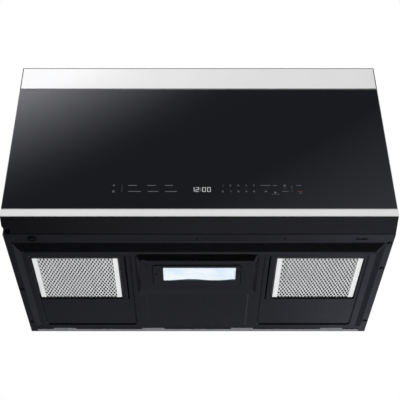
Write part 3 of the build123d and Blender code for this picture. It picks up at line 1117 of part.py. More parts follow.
with BuildPart() as turntable_motor:
    post(
        TURNTABLE_X, TURNTABLE_Y, TURNTABLE_MOTOR_RADIUS,
        CAVITY_FLOOR - TURNTABLE_MOTOR_HEIGHT, CAVITY_FLOOR,
    )
    with BuildSketch(Plane.XY.offset(CAVITY_FLOOR - SHEET)):
        with Locations((TURNTABLE_X, TURNTABLE_Y)):
            SlotOverall(MOTOR_EAR_SPAN, MOTOR_EAR_WIDTH)
    extrude(amount=SHEET)
    post(
        TURNTABLE_X, TURNTABLE_Y, DRIVE_SHAFT_RADIUS + PIN_PLAY,
        CAVITY_FLOOR - DRIVE_SHAFT_REACH - SHAFT_END_GAP, CAVITY_FLOOR, Mode.SUBTRACT,
    )
turntable_motor.part.label = "turntable_motor"
export_step(turntable_motor.part, "parts/turntable_motor.step")

with BuildPart() as turntable_coupler:
    post(
        TURNTABLE_X, TURNTABLE_Y, DRIVE_SHAFT_RADIUS,
        CAVITY_FLOOR - DRIVE_SHAFT_REACH, FLOOR_TOP + COUPLER_LIFT,
    )
    post(TURNTABLE_X, TURNTABLE_Y, COUPLER_POST_RADIUS, FLOOR_TOP + COUPLER_LIFT, TRAY_BOTTOM)
    with BuildSketch(Plane.XY.offset(TRAY_BOTTOM - COUPLER_LOBE)):
        with Locations((TURNTABLE_X, TURNTABLE_Y)):
            with PolarLocations(COUPLER_POST_RADIUS, ROLLER_COUNT):
                SlotOverall(COUPLER_RADIUS, COUPLER_LOBE)
    extrude(amount=COUPLER_LOBE)
turntable_coupler.part.label = "turntable_coupler"
export_step(turntable_coupler.part, "parts/turntable_coupler.step")

with BuildPart() as turntable_tray:
    with BuildSketch(Plane.XZ.offset(-TURNTABLE_Y)):
        with BuildLine():
            Polyline(
                (TURNTABLE_X, TRAY_BOTTOM),
                (TURNTABLE_X + TRAY_RADIUS - TRAY_RIM, TRAY_BOTTOM),
                (TURNTABLE_X + TRAY_RADIUS, TRAY_BOTTOM + TRAY_RIM - TRAY_THICKNESS),
                (TURNTABLE_X + TRAY_RADIUS, TRAY_BOTTOM + TRAY_RIM),
                (TURNTABLE_X + TRAY_RADIUS - TRAY_THICKNESS, TRAY_BOTTOM + TRAY_RIM),
                (TURNTABLE_X + TRAY_RADIUS - TRAY_RIM, TRAY_BOTTOM + TRAY_THICKNESS),
                (TURNTABLE_X, TRAY_BOTTOM + TRAY_THICKNESS),
                close=True,
            )
        make_face()
    revolve(axis=Axis((TURNTABLE_X, TURNTABLE_Y, 0), (0, 0, 1)))
turntable_tray.part.label = "turntable_tray"
export_step(turntable_tray.part, "parts/turntable_tray.step")

AXLE_END = ROLLER_TRACK + ROLLER_WIDTH / 2 + SEAT_GAP
ROLLER_TURNS = [360 / ROLLER_COUNT * index for index in range(ROLLER_COUNT)]


def radial_plane(turn, reach):
    """A plane square to the spoke at an angle, a distance out from the turntable's axis."""
    direction = Vector(1, 0, 0).rotate(Axis.Z, turn)
    return Plane(origin=Vector(TURNTABLE_X, TURNTABLE_Y, ROLLER_Z) + direction * reach, z_dir=direction)


with BuildPart() as roller_ring:
    with BuildSketch(Plane.XY.offset(ROLLER_Z - RING_HEIGHT / 2)):
        with Locations((TURNTABLE_X, TURNTABLE_Y)):
            Circle(RING_RADIUS + RING_WIDTH / 2)
            Circle(RING_RADIUS - RING_WIDTH / 2, mode=Mode.SUBTRACT)
    extrude(amount=RING_HEIGHT)
    for turn in ROLLER_TURNS:
        with BuildSketch(radial_plane(turn, RING_RADIUS)):
            Circle(AXLE_RADIUS)
        extrude(amount=AXLE_END + AXLE_CAP_THICKNESS - RING_RADIUS)
        with BuildSketch(radial_plane(turn, AXLE_END)):
            Circle(AXLE_CAP_RADIUS)
        extrude(amount=AXLE_CAP_THICKNESS)
roller_ring.part.label = "roller_ring"
export_step(roller_ring.part, "parts/roller_ring.step")

for index, turn in enumerate(ROLLER_TURNS, start=1):
    with BuildPart() as roller:
        with BuildSketch(radial_plane(turn, ROLLER_TRACK - ROLLER_WIDTH / 2)):
            Circle(ROLLER_RADIUS)
            Circle(ROLLER_BORE, mode=Mode.SUBTRACT)
        extrude(amount=ROLLER_WIDTH)
    roller.part.label = f"turntable_roller_{index}"
    export_step(roller.part, f"parts/turntable_roller_{index}.step")

# ---------------------------------------------------------------- door

with BuildPart() as door_glass:
    block(-HALF, HALF, GLASS_FRONT, GLASS_BACK, GLASS_BOTTOM, DOOR_TOP)
door_glass.part.label = "door_glass"
export_step(door_glass.part, "parts/door_glass.step")

with BuildPart() as door_lower_trim:
    block(-HALF, HALF, GLASS_FRONT, GLASS_BACK, TRIM_BOTTOM, TRIM_BOTTOM + TRIM_HEIGHT)
door_lower_trim.part.label = "door_lower_trim"
export_step(door_lower_trim.part, "parts/door_lower_trim.step")

NOTCH = BRACKET_WIDTH / 2 + BRACKET_PLAY + PIN_PLAY
NOTCH_TOP = LOWER_BRACKET_Z + BRACKET_THICKNESS + BRACKET_PLAY
NOSE_TOP = TRIM_BOTTOM - TRIM_JOINT
NOSE_FRONT = GLASS_FRONT + FOOT_RECESS

with BuildPart() as door_foot:
    with BuildSketch(Plane.YZ.offset(-HALF + FOOT_SIDE_GAP)):
        with BuildLine():
            Polyline(
                (NOSE_FRONT, NOSE_TOP - FOOT_NOSE),
                (DOOR_BACK, FOOT_HEEL),
                (DOOR_BACK, FOOT_TOP),
                (GLASS_BACK + SEAT_GAP, FOOT_TOP),
                (GLASS_BACK + SEAT_GAP, NOSE_TOP),
                (NOSE_FRONT, NOSE_TOP),
                close=True,
            )
        make_face()
    extrude(amount=WIDTH - 2 * FOOT_SIDE_GAP)
    rear_uprights = door_foot.edges().filter_by(Axis.Z).sort_by(Axis.Y)[-2:]
    fillet(rear_uprights.sort_by(Axis.X)[0], radius=PIN_INSET - FOOT_SIDE_GAP - SHEET)
    block(-HALF, PIN_X + NOTCH, PIN_Y - NOTCH, DOOR_BACK, 0, NOTCH_TOP, Mode.SUBTRACT)
    post(PIN_X, PIN_Y, PIN_RADIUS + BUSH_WALL, NOTCH_TOP, FOOT_TOP, Mode.SUBTRACT)
door_foot.part.label = "door_foot"
export_step(door_foot.part, "parts/door_foot.step")

STILE_RIGHT = -INSIDE + HINGE_STILE
STILE_FRONT = DOOR_SHEET_BACK - HINGE_STILE_DEPTH
SLOT_X = (LATCH_X - HOOK_WIDTH / 2 - LATCH_PLAY, LATCH_X + HOOK_WIDTH / 2 + LATCH_PLAY)
WINDOW = (WINDOW_LEFT, WINDOW_RIGHT, WINDOW_BOTTOM, WINDOW_TOP)

with BuildPart() as door_frame:
    block(-INSIDE, INSIDE, GLASS_BACK, DOOR_SHEET_BACK, FOOT_TOP, DOOR_TOP)
    rear_uprights = door_frame.edges().filter_by(Axis.Z).sort_by(Axis.Y)[-2:]
    fillet(rear_uprights.sort_by(Axis.X)[0], radius=PIN_INSET - CHOKE_THICKNESS - SHEET)
    block(
        DOOR_WALL - INSIDE, INSIDE - DOOR_WALL, GLASS_BACK, STILE_FRONT,
        FOOT_TOP + DOOR_WALL, DOOR_TOP - DOOR_WALL, Mode.SUBTRACT,
    )
    block(
        STILE_RIGHT, INSIDE - DOOR_WALL, STILE_FRONT, DOOR_SHEET_FRONT,
        FOOT_TOP + DOOR_WALL, DOOR_TOP - DOOR_WALL, Mode.SUBTRACT,
    )
    block(
        WINDOW[0], WINDOW[1], DOOR_SHEET_FRONT, DOOR_SHEET_BACK, WINDOW[2], WINDOW[3], Mode.SUBTRACT,
    )
    for bush_z in (FOOT_TOP, DOOR_TOP - PIN_LENGTH):
        post(PIN_X, PIN_Y, PIN_RADIUS + BUSH_WALL, bush_z, bush_z + PIN_LENGTH, Mode.SUBTRACT)
    for hook_z in HOOK_HEIGHTS:
        block(
            *SLOT_X, DOOR_SHEET_FRONT, DOOR_SHEET_BACK,
            hook_z - HOOK_DEPTH / 2 - BARB_DROP - LATCH_PLAY,
            hook_z + HOOK_DEPTH / 2 + LATCH_LIFT + SLOT_HEAD_ROOM, Mode.SUBTRACT,
        )
door_frame.part.label = "door_frame"
export_step(door_frame.part, "parts/door_frame.step")

with BuildPart() as hinge_bushes:
    for bush_z in (FOOT_TOP, DOOR_TOP - PIN_LENGTH):
        post(PIN_X, PIN_Y, PIN_RADIUS + BUSH_WALL, bush_z, bush_z + PIN_LENGTH)
        post(PIN_X, PIN_Y, PIN_RADIUS + PIN_PLAY, bush_z, bush_z + PIN_LENGTH, Mode.SUBTRACT)
hinge_bushes.part.label = "hinge_bushes"
export_step(hinge_bushes.part, "parts/hinge_bushes.step")

PANE = (WINDOW[0] - PANE_LAP, WINDOW[1] + PANE_LAP, WINDOW[2] - PANE_LAP, WINDOW[3] + PANE_LAP)

with BuildPart() as door_screen:
    block(
        PANE[0], PANE[1], DOOR_SHEET_FRONT - SCREEN_THICKNESS, DOOR_SHEET_FRONT, PANE[2], PANE[3],
    )
door_screen.part.label = "door_screen"
export_step(door_screen.part, "parts/door_screen.step")

with BuildPart() as door_inner_glass:
    block(PANE[0], PANE[1], DOOR_SHEET_BACK, DOOR_BACK, PANE[2], PANE[3])
door_inner_glass.part.label = "door_inner_glass"
export_step(door_inner_glass.part, "parts/door_inner_glass.step")

with BuildPart() as choke_cover:
    block(PIN_X, INSIDE, DOOR_SHEET_BACK, DOOR_BACK, FOOT_TOP, DOOR_TOP)
    block(PANE[0], PANE[1], DOOR_SHEET_BACK, DOOR_BACK, PANE[2], PANE[3], Mode.SUBTRACT)
    for hook_z in HOOK_HEIGHTS:
        block(
            *SLOT_X, DOOR_SHEET_BACK, DOOR_BACK,
            hook_z - HOOK_DEPTH / 2 - BARB_DROP - LATCH_PLAY,
            hook_z + HOOK_DEPTH / 2 + LATCH_LIFT + SLOT_HEAD_ROOM, Mode.SUBTRACT,
        )
choke_cover.part.label = "choke_cover"
export_step(choke_cover.part, "parts/choke_cover.step")

with BuildPart() as touch_board:
    block(
        TOUCH_CENTRE_X - TOUCH_WIDTH / 2, TOUCH_CENTRE_X + TOUCH_WIDTH / 2,
        GLASS_BACK, GLASS_BACK + BOARD_THICKNESS,
        TOUCH_CENTRE_Z - TOUCH_HEIGHT / 2, TOUCH_CENTRE_Z + TOUCH_HEIGHT / 2,
    )
touch_board.part.label = "touch_board"
export_step(touch_board.part, "parts/touch_board.step")

with BuildPart() as display_module:
    block(
        DISPLAY_CENTRE_X - DISPLAY_WIDTH / 2, DISPLAY_CENTRE_X + DISPLAY_WIDTH / 2,
        GLASS_BACK + BOARD_THICKNESS, GLASS_BACK + BOARD_THICKNESS + DISPLAY_DEPTH,
        TOUCH_CENTRE_Z - DISPLAY_HEIGHT / 2, TOUCH_CENTRE_Z + DISPLAY_HEIGHT / 2,
    )
    back_edges = display_module.faces().sort_by(Axis.Y)[-1].edges()
    fillet(back_edges, radius=DISPLAY_CORNER)
display_module.part.label = "display_module"
export_step(display_module.part, "parts/display_module.step")

# ---------------------------------------------------------------- latch and interlock

BAR_BACK = DOOR_SHEET_FRONT - SEAT_GAP
BAR_FRONT = BAR_BACK - LATCH_BAR_DEPTH

with BuildPart() as latch_bar:
    block(
        LATCH_X - LATCH_BAR_WIDTH / 2, LATCH_X + LATCH_BAR_WIDTH / 2, BAR_FRONT, BAR_BACK,
        HOOK_HEIGHTS[0] - LATCH_BAR_OVERHANG, HOOK_HEIGHTS[-1] + LATCH_BAR_OVERHANG,
    )
    for hook_z in HOOK_HEIGHTS:
        with BuildSketch(Plane.YZ.offset(LATCH_X - HOOK_WIDTH / 2)) as hook:
            with BuildLine():
                Polyline(
                    (BAR_FRONT, hook_z - HOOK_DEPTH / 2),
                    (HOOK_TIP - BARB_LENGTH, hook_z - HOOK_DEPTH / 2),
                    (HOOK_TIP - BARB_LENGTH, hook_z - HOOK_DEPTH / 2 - BARB_DROP),
                    (HOOK_TIP - BARB_LENGTH / 2, hook_z - HOOK_DEPTH / 2 - BARB_DROP),
                    (HOOK_TIP, hook_z - HOOK_DEPTH / 4),
                    (HOOK_TIP, hook_z + HOOK_DEPTH / 2),
                    (BAR_FRONT, hook_z + HOOK_DEPTH / 2),
                    close=True,
                )
            make_face()
        extrude(hook.sketch, amount=HOOK_WIDTH)
latch_bar.part.label = "latch_bar"
export_step(latch_bar.part, "parts/latch_bar.step")

PLUNGER_SPREAD = (SWITCH_WIDTH + SWITCH_SPACING) / 2
PLUNGER_X = (LATCH_X - PLUNGER_SPREAD, LATCH_X + PLUNGER_SPREAD)
SWITCH_PLACES = (
    ("upper", PLUNGER_X[0], HOOK_HEIGHTS[-1]),
    ("lower", PLUNGER_X[0], HOOK_HEIGHTS[0]),
    ("monitor", PLUNGER_X[1], HOOK_HEIGHTS[0]),
)
CATCH_LEFT = PLUNGER_X[0] - SWITCH_WIDTH / 2 - CATCH_PLATE
CATCH_BACK = SWITCH_FACE + SWITCH_DEPTH

with BuildPart() as latch_catch:
    block(
        CATCH_LEFT, CATCH_LEFT + CATCH_PLATE, PLATE_BACK, CATCH_BACK,
        HOOK_HEIGHTS[0] - CATCH_MARGIN, HOOK_HEIGHTS[-1] + CATCH_MARGIN,
    )
    block(
        CATCH_LEFT, LATCH_X + HOOK_WIDTH, CATCH_BACK, CATCH_BACK + CATCH_PLATE,
        HOOK_HEIGHTS[0] - CATCH_MARGIN, HOOK_HEIGHTS[-1] + CATCH_MARGIN,
    )
    for hook_z in HOOK_HEIGHTS:
        ledge_top = hook_z - HOOK_DEPTH / 2 - BARB_DROP - SEAT_GAP
        block(
            CATCH_LEFT + CATCH_PLATE, LATCH_X + HOOK_WIDTH, PLATE_BACK, PLATE_BACK + CATCH_LEDGE,
            ledge_top - CATCH_PLATE, ledge_top,
        )
latch_catch.part.label = "latch_catch"
export_step(latch_catch.part, "parts/latch_catch.step")

with BuildPart() as interlock_switches:
    for place, plunger_x, switch_z in SWITCH_PLACES:
        block(
            plunger_x - SWITCH_WIDTH / 2, plunger_x + SWITCH_WIDTH / 2, SWITCH_FACE, CATCH_BACK,
            switch_z - SWITCH_HEIGHT / 2, switch_z + SWITCH_HEIGHT / 2,
        )
        rod_y(
            plunger_x, switch_z, PLUNGER_RADIUS + PIN_PLAY,
            SWITCH_FACE, SWITCH_FACE + PLUNGER_IN + PLUNGER_TRAVEL + SEAT_GAP, Mode.SUBTRACT,
        )
interlock_switches.part.label = "interlock_switches"
export_step(interlock_switches.part, "parts/interlock_switches.step")

for place, plunger_x, switch_z in SWITCH_PLACES:
    with BuildPart() as plunger:
        rod_y(plunger_x, switch_z, PLUNGER_RADIUS, SWITCH_FACE - PLUNGER_OUT, SWITCH_FACE + PLUNGER_IN)
        fillet(plunger.faces().sort_by(Axis.Y)[0].edges(), radius=PLUNGER_RADIUS / 2)
    plunger.part.label = f"switch_plunger_{place}"
    export_step(plunger.part, f"parts/switch_plunger_{place}.step")

# ---------------------------------------------------------------- hinge brackets

UPPER_BRACKET_Z = FASCIA_BOTTOM + DOOR_WALL
HINGES = (
    ("lower", LOWER_BRACKET_Z, FOOT_TOP + PIN_LENGTH - PIN_TIP_GAP, 1),
    ("upper", UPPER_BRACKET_Z, DOOR_TOP - PIN_LENGTH + PIN_TIP_GAP, -1),
)

for place, bracket_z, pin_end, upward in HINGES:
    with BuildPart() as hinge:
        with BuildSketch(Plane.XY.offset(bracket_z)):
            with Locations((PIN_X, PIN_Y)):
                Circle(BRACKET_WIDTH / 2)
            with Locations((PIN_X, (PIN_Y + PLATE_BACK + BRACKET_THICKNESS) / 2)):
                Rectangle(BRACKET_WIDTH, PLATE_BACK + BRACKET_THICKNESS - PIN_Y)
        extrude(amount=BRACKET_THICKNESS)
        flange_z = sorted((bracket_z, bracket_z + upward * BRACKET_FLANGE))
        block(
            PIN_X - BRACKET_WIDTH / 2, PIN_X + BRACKET_WIDTH / 2,
            PLATE_BACK, PLATE_BACK + BRACKET_THICKNESS, *flange_z,
        )
        post(PIN_X, PIN_Y, PIN_RADIUS, min(bracket_z, pin_end), max(bracket_z, pin_end))
    hinge.part.label = f"hinge_{place}"
    export_step(hinge.part, f"parts/hinge_{place}.step")

# ---------------------------------------------------------------- vent blower

SCROLL_BOTTOM = BLOWER_Z - SCROLL_RADIUS


def scroll_sketch(wall):
    """The scroll's outline square to the blower shaft, drawn in by a wall."""
    with BuildSketch() as outline:
        with Locations((BLOWER_Y, BLOWER_Z)):
            Circle(SCROLL_RADIUS - wall)
        top = BLOWER_Z + SCROLL_RADIUS - wall
        bottom = BLOWER_Z + SCROLL_RADIUS - SCROLL_OUTLET_HEIGHT + wall
        with Locations(((SCROLL_OUTLET_Y + BLOWER_Y) / 2, (top + bottom) / 2)):
            Rectangle(BLOWER_Y - SCROLL_OUTLET_Y, top - bottom)
    return outline.sketch


with BuildPart() as blower_housing:
    block(
        -SCROLL_INNER_X - SCROLL_WIDTH, SCROLL_INNER_X + SCROLL_WIDTH,
        BLOWER_Y - SCROLL_RADIUS, BLOWER_Y + SCROLL_RADIUS, CAVITY_TOP, CAVITY_TOP + BLOWER_BASE,
    )
    block(
        -BLOWER_MOTOR_LENGTH / 2, BLOWER_MOTOR_LENGTH / 2,
        BLOWER_Y - BLOWER_FOOT / 2, BLOWER_Y + BLOWER_FOOT / 2,
        CAVITY_TOP + BLOWER_BASE, BLOWER_Z - BLOWER_MOTOR_RADIUS / 2,
    )
    rod_x(
        BLOWER_Y, BLOWER_Z, BLOWER_MOTOR_RADIUS,
        -BLOWER_MOTOR_LENGTH / 2, BLOWER_MOTOR_LENGTH / 2, Mode.SUBTRACT,
    )
    for scroll_x in (-SCROLL_INNER_X - SCROLL_WIDTH, SCROLL_INNER_X):
        block(
            scroll_x, scroll_x + SCROLL_WIDTH,
            BLOWER_Y - BLOWER_FOOT / 2, BLOWER_Y + BLOWER_FOOT / 2,
            CAVITY_TOP + BLOWER_BASE, SCROLL_BOTTOM + FOOT_SINK,
        )
        with BuildSketch(Plane.YZ.offset(scroll_x)) as shell:
            add(scroll_sketch(0))
        extrude(shell.sketch, amount=SCROLL_WIDTH)
        with BuildSketch(Plane.YZ.offset(scroll_x + SCROLL_WALL)) as hollow:
            add(scroll_sketch(SCROLL_WALL))
        extrude(hollow.sketch, amount=SCROLL_WIDTH - 2 * SCROLL_WALL, mode=Mode.SUBTRACT)
        rod_x(BLOWER_Y, BLOWER_Z, INLET_RADIUS, scroll_x, scroll_x + SCROLL_WIDTH, Mode.SUBTRACT)
blower_housing.part.label = "blower_housing"
export_step(blower_housing.part, "parts/blower_housing.step")

with BuildPart() as blower_motor:
    rod_x(BLOWER_Y, BLOWER_Z, BLOWER_MOTOR_RADIUS, -BLOWER_MOTOR_LENGTH / 2, BLOWER_MOTOR_LENGTH / 2)
    end_edges = blower_motor.edges().filter_by(GeomType.CIRCLE)
    fillet(end_edges, radius=MOTOR_CORNER)
    rod_x(
        BLOWER_Y, BLOWER_Z, BLOWER_SHAFT_RADIUS + PIN_PLAY,
        -BLOWER_MOTOR_LENGTH / 2, BLOWER_MOTOR_LENGTH / 2, Mode.SUBTRACT,
    )
blower_motor.part.label = "blower_motor"
export_step(blower_motor.part, "parts/blower_motor.step")

WHEEL_INNER_X = SCROLL_INNER_X + (SCROLL_WIDTH - WHEEL_WIDTH) / 2

with BuildPart() as blower_wheels:
    shaft_end = WHEEL_INNER_X + WHEEL_HUB_LENGTH
    rod_x(BLOWER_Y, BLOWER_Z, BLOWER_SHAFT_RADIUS, -shaft_end, shaft_end)
    for side in (-1, 1):
        near = side * WHEEL_INNER_X
        far = side * (WHEEL_INNER_X + WHEEL_WIDTH)
        rod_x(BLOWER_Y, BLOWER_Z, WHEEL_RADIUS, *sorted((near, near + side * WHEEL_DISC)))
        rod_x(BLOWER_Y, BLOWER_Z, WHEEL_HUB_RADIUS, *sorted((near, near + side * WHEEL_HUB_LENGTH)))
        with BuildSketch(Plane.YZ.offset(min(far, far - side * WHEEL_RIM))) as ring:
            with Locations((BLOWER_Y, BLOWER_Z)):
                Circle(WHEEL_RADIUS)
                Circle(WHEEL_INNER_RADIUS, mode=Mode.SUBTRACT)
        extrude(ring.sketch, amount=WHEEL_RIM)
        with BuildSketch(Plane.YZ.offset(min(near, far))) as blades:
            with Locations((BLOWER_Y, BLOWER_Z)):
                with PolarLocations((WHEEL_RADIUS + WHEEL_INNER_RADIUS) / 2, WHEEL_BLADES):
                    Rectangle(
                        WHEEL_RADIUS - WHEEL_INNER_RADIUS - 2 * BLADE_EDGE, BLADE_THICKNESS,
                        rotation=BLADE_TURN,
                    )
        extrude(blades.sketch, amount=WHEEL_WIDTH)
blower_wheels.part.label = "blower_wheels"
export_step(blower_wheels.part, "parts/blower_wheels.step")
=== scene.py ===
import math
import random

import bmesh
import bpy
from mathutils import Matrix, Vector


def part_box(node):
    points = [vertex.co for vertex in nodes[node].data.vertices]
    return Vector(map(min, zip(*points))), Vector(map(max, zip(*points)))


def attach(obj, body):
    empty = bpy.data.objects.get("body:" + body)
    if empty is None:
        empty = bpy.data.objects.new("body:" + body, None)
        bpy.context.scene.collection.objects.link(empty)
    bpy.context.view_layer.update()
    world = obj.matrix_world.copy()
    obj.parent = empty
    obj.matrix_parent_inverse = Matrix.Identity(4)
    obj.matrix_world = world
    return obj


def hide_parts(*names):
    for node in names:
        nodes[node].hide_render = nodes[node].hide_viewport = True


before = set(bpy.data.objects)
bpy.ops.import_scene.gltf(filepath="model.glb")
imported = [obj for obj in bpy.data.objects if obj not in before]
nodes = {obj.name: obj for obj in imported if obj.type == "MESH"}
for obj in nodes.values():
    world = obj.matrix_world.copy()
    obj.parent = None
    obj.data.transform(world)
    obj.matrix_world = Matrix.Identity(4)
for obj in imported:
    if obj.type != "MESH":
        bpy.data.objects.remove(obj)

scene = bpy.context.scene
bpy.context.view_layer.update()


# ---------------------------------------------------------------- camera

CAMERA_AT = Vector((-0.01436, -1.74391, -0.97365))
CAMERA_PITCH = math.radians(35.6624)
CAMERA_LENS, CAMERA_SENSOR = 78.249, 36.0
CAMERA_SHIFT = (0.02067, 0.08083)
CAMERA_NEAR, CAMERA_FAR = 0.05, 60.0

right = Vector((1, 0, 0))
ahead = Vector((0, math.cos(CAMERA_PITCH), math.sin(CAMERA_PITCH)))
up = Vector((0, -math.sin(CAMERA_PITCH), math.cos(CAMERA_PITCH)))
camera_data = bpy.data.cameras.new("camera")
camera_data.lens = CAMERA_LENS
camera_data.sensor_width = CAMERA_SENSOR
camera_data.shift_x, camera_data.shift_y = CAMERA_SHIFT
camera_data.clip_start, camera_data.clip_end = CAMERA_NEAR, CAMERA_FAR
camera = bpy.data.objects.new("camera", camera_data)
turned = Matrix((right, up, -ahead)).transposed().to_4x4()
camera.matrix_world = Matrix.Translation(CAMERA_AT) @ turned
scene.collection.objects.link(camera)
scene.camera = camera
scene.view_settings.view_transform = "Standard"


# ---------------------------------------------------------------- shader helpers

# where the thin and the dense part of a cloudy noise begin
THIN, DENSE = 0.3, 0.7


class Nodes:
    """A tree of shader nodes, built by calls that give back sockets."""

    def __init__(self, tree):
        self.tree = tree

    def new(self, kind):
        return self.tree.nodes.new(kind)

    def join(self, source, target):
        self.tree.links.new(source, target)

    def feed(self, target, value):
        if isinstance(value, bpy.types.NodeSocket):
            self.join(value, target)
        else:
            target.default_value = value

    def math(self, operation, a, b=0.0, clamp=False):
        node = self.new("ShaderNodeMath")
        node.operation = operation
        node.use_clamp = clamp
        self.feed(node.inputs[0], a)
        self.feed(node.inputs[1], b)
        return node.outputs[0]

    def product(self, first, *others):
        for other in others:
            first = self.math("MULTIPLY", first, other)
        return first

    def total(self, first, *others):
        for other in others:
            first = self.math("ADD", first, other)
        return first

    def remap(self, value, low, high, out_low=0.0, out_high=1.0, kind="LINEAR"):
        node = self.new("ShaderNodeMapRange")
        node.interpolation_type = kind
        self.join(value, node.inputs["Value"])
        node.inputs["From Min"].default_value = low
        node.inputs["From Max"].default_value = high
        node.inputs["To Min"].default_value = out_low
        node.inputs["To Max"].default_value = out_high
        return node.outputs["Result"]

    def mix(self, factor, a, b):
        node = self.new("ShaderNodeMix")
        node.data_type = "RGBA"
        self.feed(node.inputs[0], factor)
        for socket, value in ((node.inputs[6], a), (node.inputs[7], b)):
            self.feed(socket, value if isinstance(value, bpy.types.NodeSocket) else (*value, 1.0))
        return node.outputs[2]


class Surface(Nodes):
    """One procedural material, fed by the object's own metres."""

    def __init__(self, name):
        self.material = bpy.data.materials.new(name)
        self.material.use_nodes = True
        super().__init__(self.material.node_tree)
        self.shader = self.tree.nodes["Principled BSDF"]
        self.where = self.new("ShaderNodeTexCoord").outputs["Object"]

    def stretched(self, stretch):
        mapping = self.new("ShaderNodeMapping")
        mapping.inputs["Scale"].default_value = stretch
        self.join(self.where, mapping.inputs["Vector"])
        return mapping.outputs["Vector"]

    def noise(self, scale, detail=3.0, rough=0.5, stretch=None, distortion=0.0):
        texture = self.new("ShaderNodeTexNoise")
        texture.inputs["Scale"].default_value = scale
        texture.inputs["Detail"].default_value = detail
        texture.inputs["Roughness"].default_value = rough
        texture.inputs["Distortion"].default_value = distortion
        self.join(self.stretched(stretch) if stretch else self.where, texture.inputs["Vector"])
        return texture.outputs["Fac"]

    def cells(self, scale, output="Distance", feature="F1", stretch=None, randomness=1.0):
        texture = self.new("ShaderNodeTexVoronoi")
        texture.feature = feature
        texture.inputs["Scale"].default_value = scale
        texture.inputs["Randomness"].default_value = randomness
        self.join(self.stretched(stretch) if stretch else self.where, texture.inputs["Vector"])
        return texture.outputs[output]

    def grey(self, colour):
        node = self.new("ShaderNodeRGBToBW")
        self.join(colour, node.inputs[0])
        return node.outputs[0]

    def waves(self, direction, scale, distortion):
        texture = self.new("ShaderNodeTexWave")
        texture.wave_type = "BANDS"
        texture.bands_direction = direction
        texture.inputs["Scale"].default_value = scale
        texture.inputs["Distortion"].default_value = distortion
        self.join(self.where, texture.inputs["Vector"])
        return texture.outputs["Fac"]

    def ramp(self, value, *stops):
        node = self.new("ShaderNodeValToRGB")
        elements = node.color_ramp.elements
        while len(elements) < len(stops):
            elements.new(0.5)
        for element, (place, colour) in zip(elements, stops):
            element.position = place
            element.color = (*colour, 1.0)
        self.join(value, node.inputs["Fac"])
        return node.outputs["Color"]

    def clouded(self, cloud, choice, colour, plain, flecked):
        """A colour that drifts with a cloud, over one pair of tones or the other."""
        tones = (
            self.ramp(cloud, (THIN, tint(colour, low)), (DENSE, tint(colour, high)))
            for low, high in (plain, flecked)
        )
        return self.mix(choice, *tones)

    def worn(self, cloud, rough, less, more):
        """A roughness that drifts with a cloud."""
        return self.remap(cloud, THIN, DENSE, rough * less, min(1.0, rough * more))

    def axes(self):
        node = self.new("ShaderNodeSeparateXYZ")
        self.join(self.where, node.inputs[0])
        return node.outputs[0], node.outputs[1], node.outputs[2]

    def inside(self, value, low, high, soft):
        rise = self.remap(value, low - soft, low + soft)
        fall = self.remap(value, high - soft, high + soft, 1.0, 0.0)
        return self.product(rise, fall)

    def bump(self, height, distance, strength=1.0, below=None):
        node = self.new("ShaderNodeBump")
        node.inputs["Strength"].default_value = strength
        node.inputs["Distance"].default_value = distance
        self.join(height, node.inputs["Height"])
        if below is not None:
            self.join(below, node.inputs["Normal"])
        return node.outputs["Normal"]

    def rounded(self, radius):
        node = self.new("ShaderNodeBevel")
        node.samples = 4
        node.inputs["Radius"].default_value = radius
        return node.outputs["Normal"]

    def set(self, **values):
        for name, value in values.items():
            self.feed(self.shader.inputs[name.replace("_", " ")], value)


def tint(colour, amount):
    return tuple(max(0.0, min(1.0, c * amount)) for c in colour)


FOLD_END = 0.004
# occlusion at which a crease mirrors nothing, and at which paint mirrors all it does
SHUT, OPEN = 0.83, 0.97
PLAIN_SPECULAR = 0.5
PEEL, PAINT_GRAIN = 0.00002, 0.000006


def folded(s, corners, folds):
    """Soft bends in sheet that run from side to side.

    Each is (y, side of it, half length, reach, radius): inner bends have a radius above 0 and
    outer ones below.
    """
    x, y, _ = s.axes()
    swell = 0.0
    for place, side, half_length, reach, radius in folds:
        away = s.product(s.math("SUBTRACT", y, place), side)
        within = s.math("MAXIMUM", s.math("SUBTRACT", reach, away), 0.0)
        height = s.product(
            s.math("POWER", within, 2.0),
            s.math("GREATER_THAN", away, 0.0),
            0.5 / radius,
            s.inside(x, -half_length, half_length, FOLD_END),
        )
        swell = s.math("ADD", height, swell)
    return s.bump(swell, 1.0, 1.0, corners)


def painted(name, colour, rough, spread=0.10, edge=0.0006, folds=(), creases=0.0, **values):
    """Sprayed paint: cloudy colour, orange peel, fine dust nibs and softened edges.

    Creases is how near another surface has to be for the paint to mirror less: painted shade that
    dulls creases and inner corners.
    """
    s = Surface(name)
    shade = s.clouded(
        s.noise(9.0, 4.0, 0.6), s.remap(s.noise(420.0, 2.0, 0.5), 0.35, 0.65), colour,
        (1 - spread, 1 + spread), (1 - spread * 0.4, 1 + spread * 1.5),
    )
    corners = s.rounded(edge)
    if folds:
        corners = folded(s, corners, folds)
    # painted shade: the paint mirrors less where another surface is near
    if creases:
        nearby = s.new("ShaderNodeAmbientOcclusion")
        nearby.inputs["Distance"].default_value = creases
        s.set(Specular_IOR_Level=s.remap(nearby.outputs["AO"], SHUT, OPEN, 0.0, PLAIN_SPECULAR))
    orange_peel = s.bump(s.noise(260.0, 2.0, 0.45), PEEL, 0.8, corners)
    nibs = s.bump(s.noise(2600.0, 2.0, 0.6), PAINT_GRAIN, 0.7, orange_peel)
    s.set(
        Base_Color=shade,
        Roughness=s.worn(s.noise(38.0, 5.0, 0.65), rough, 0.86, 1.16),
        Normal=nibs,
        **values,
    )
    return s.material


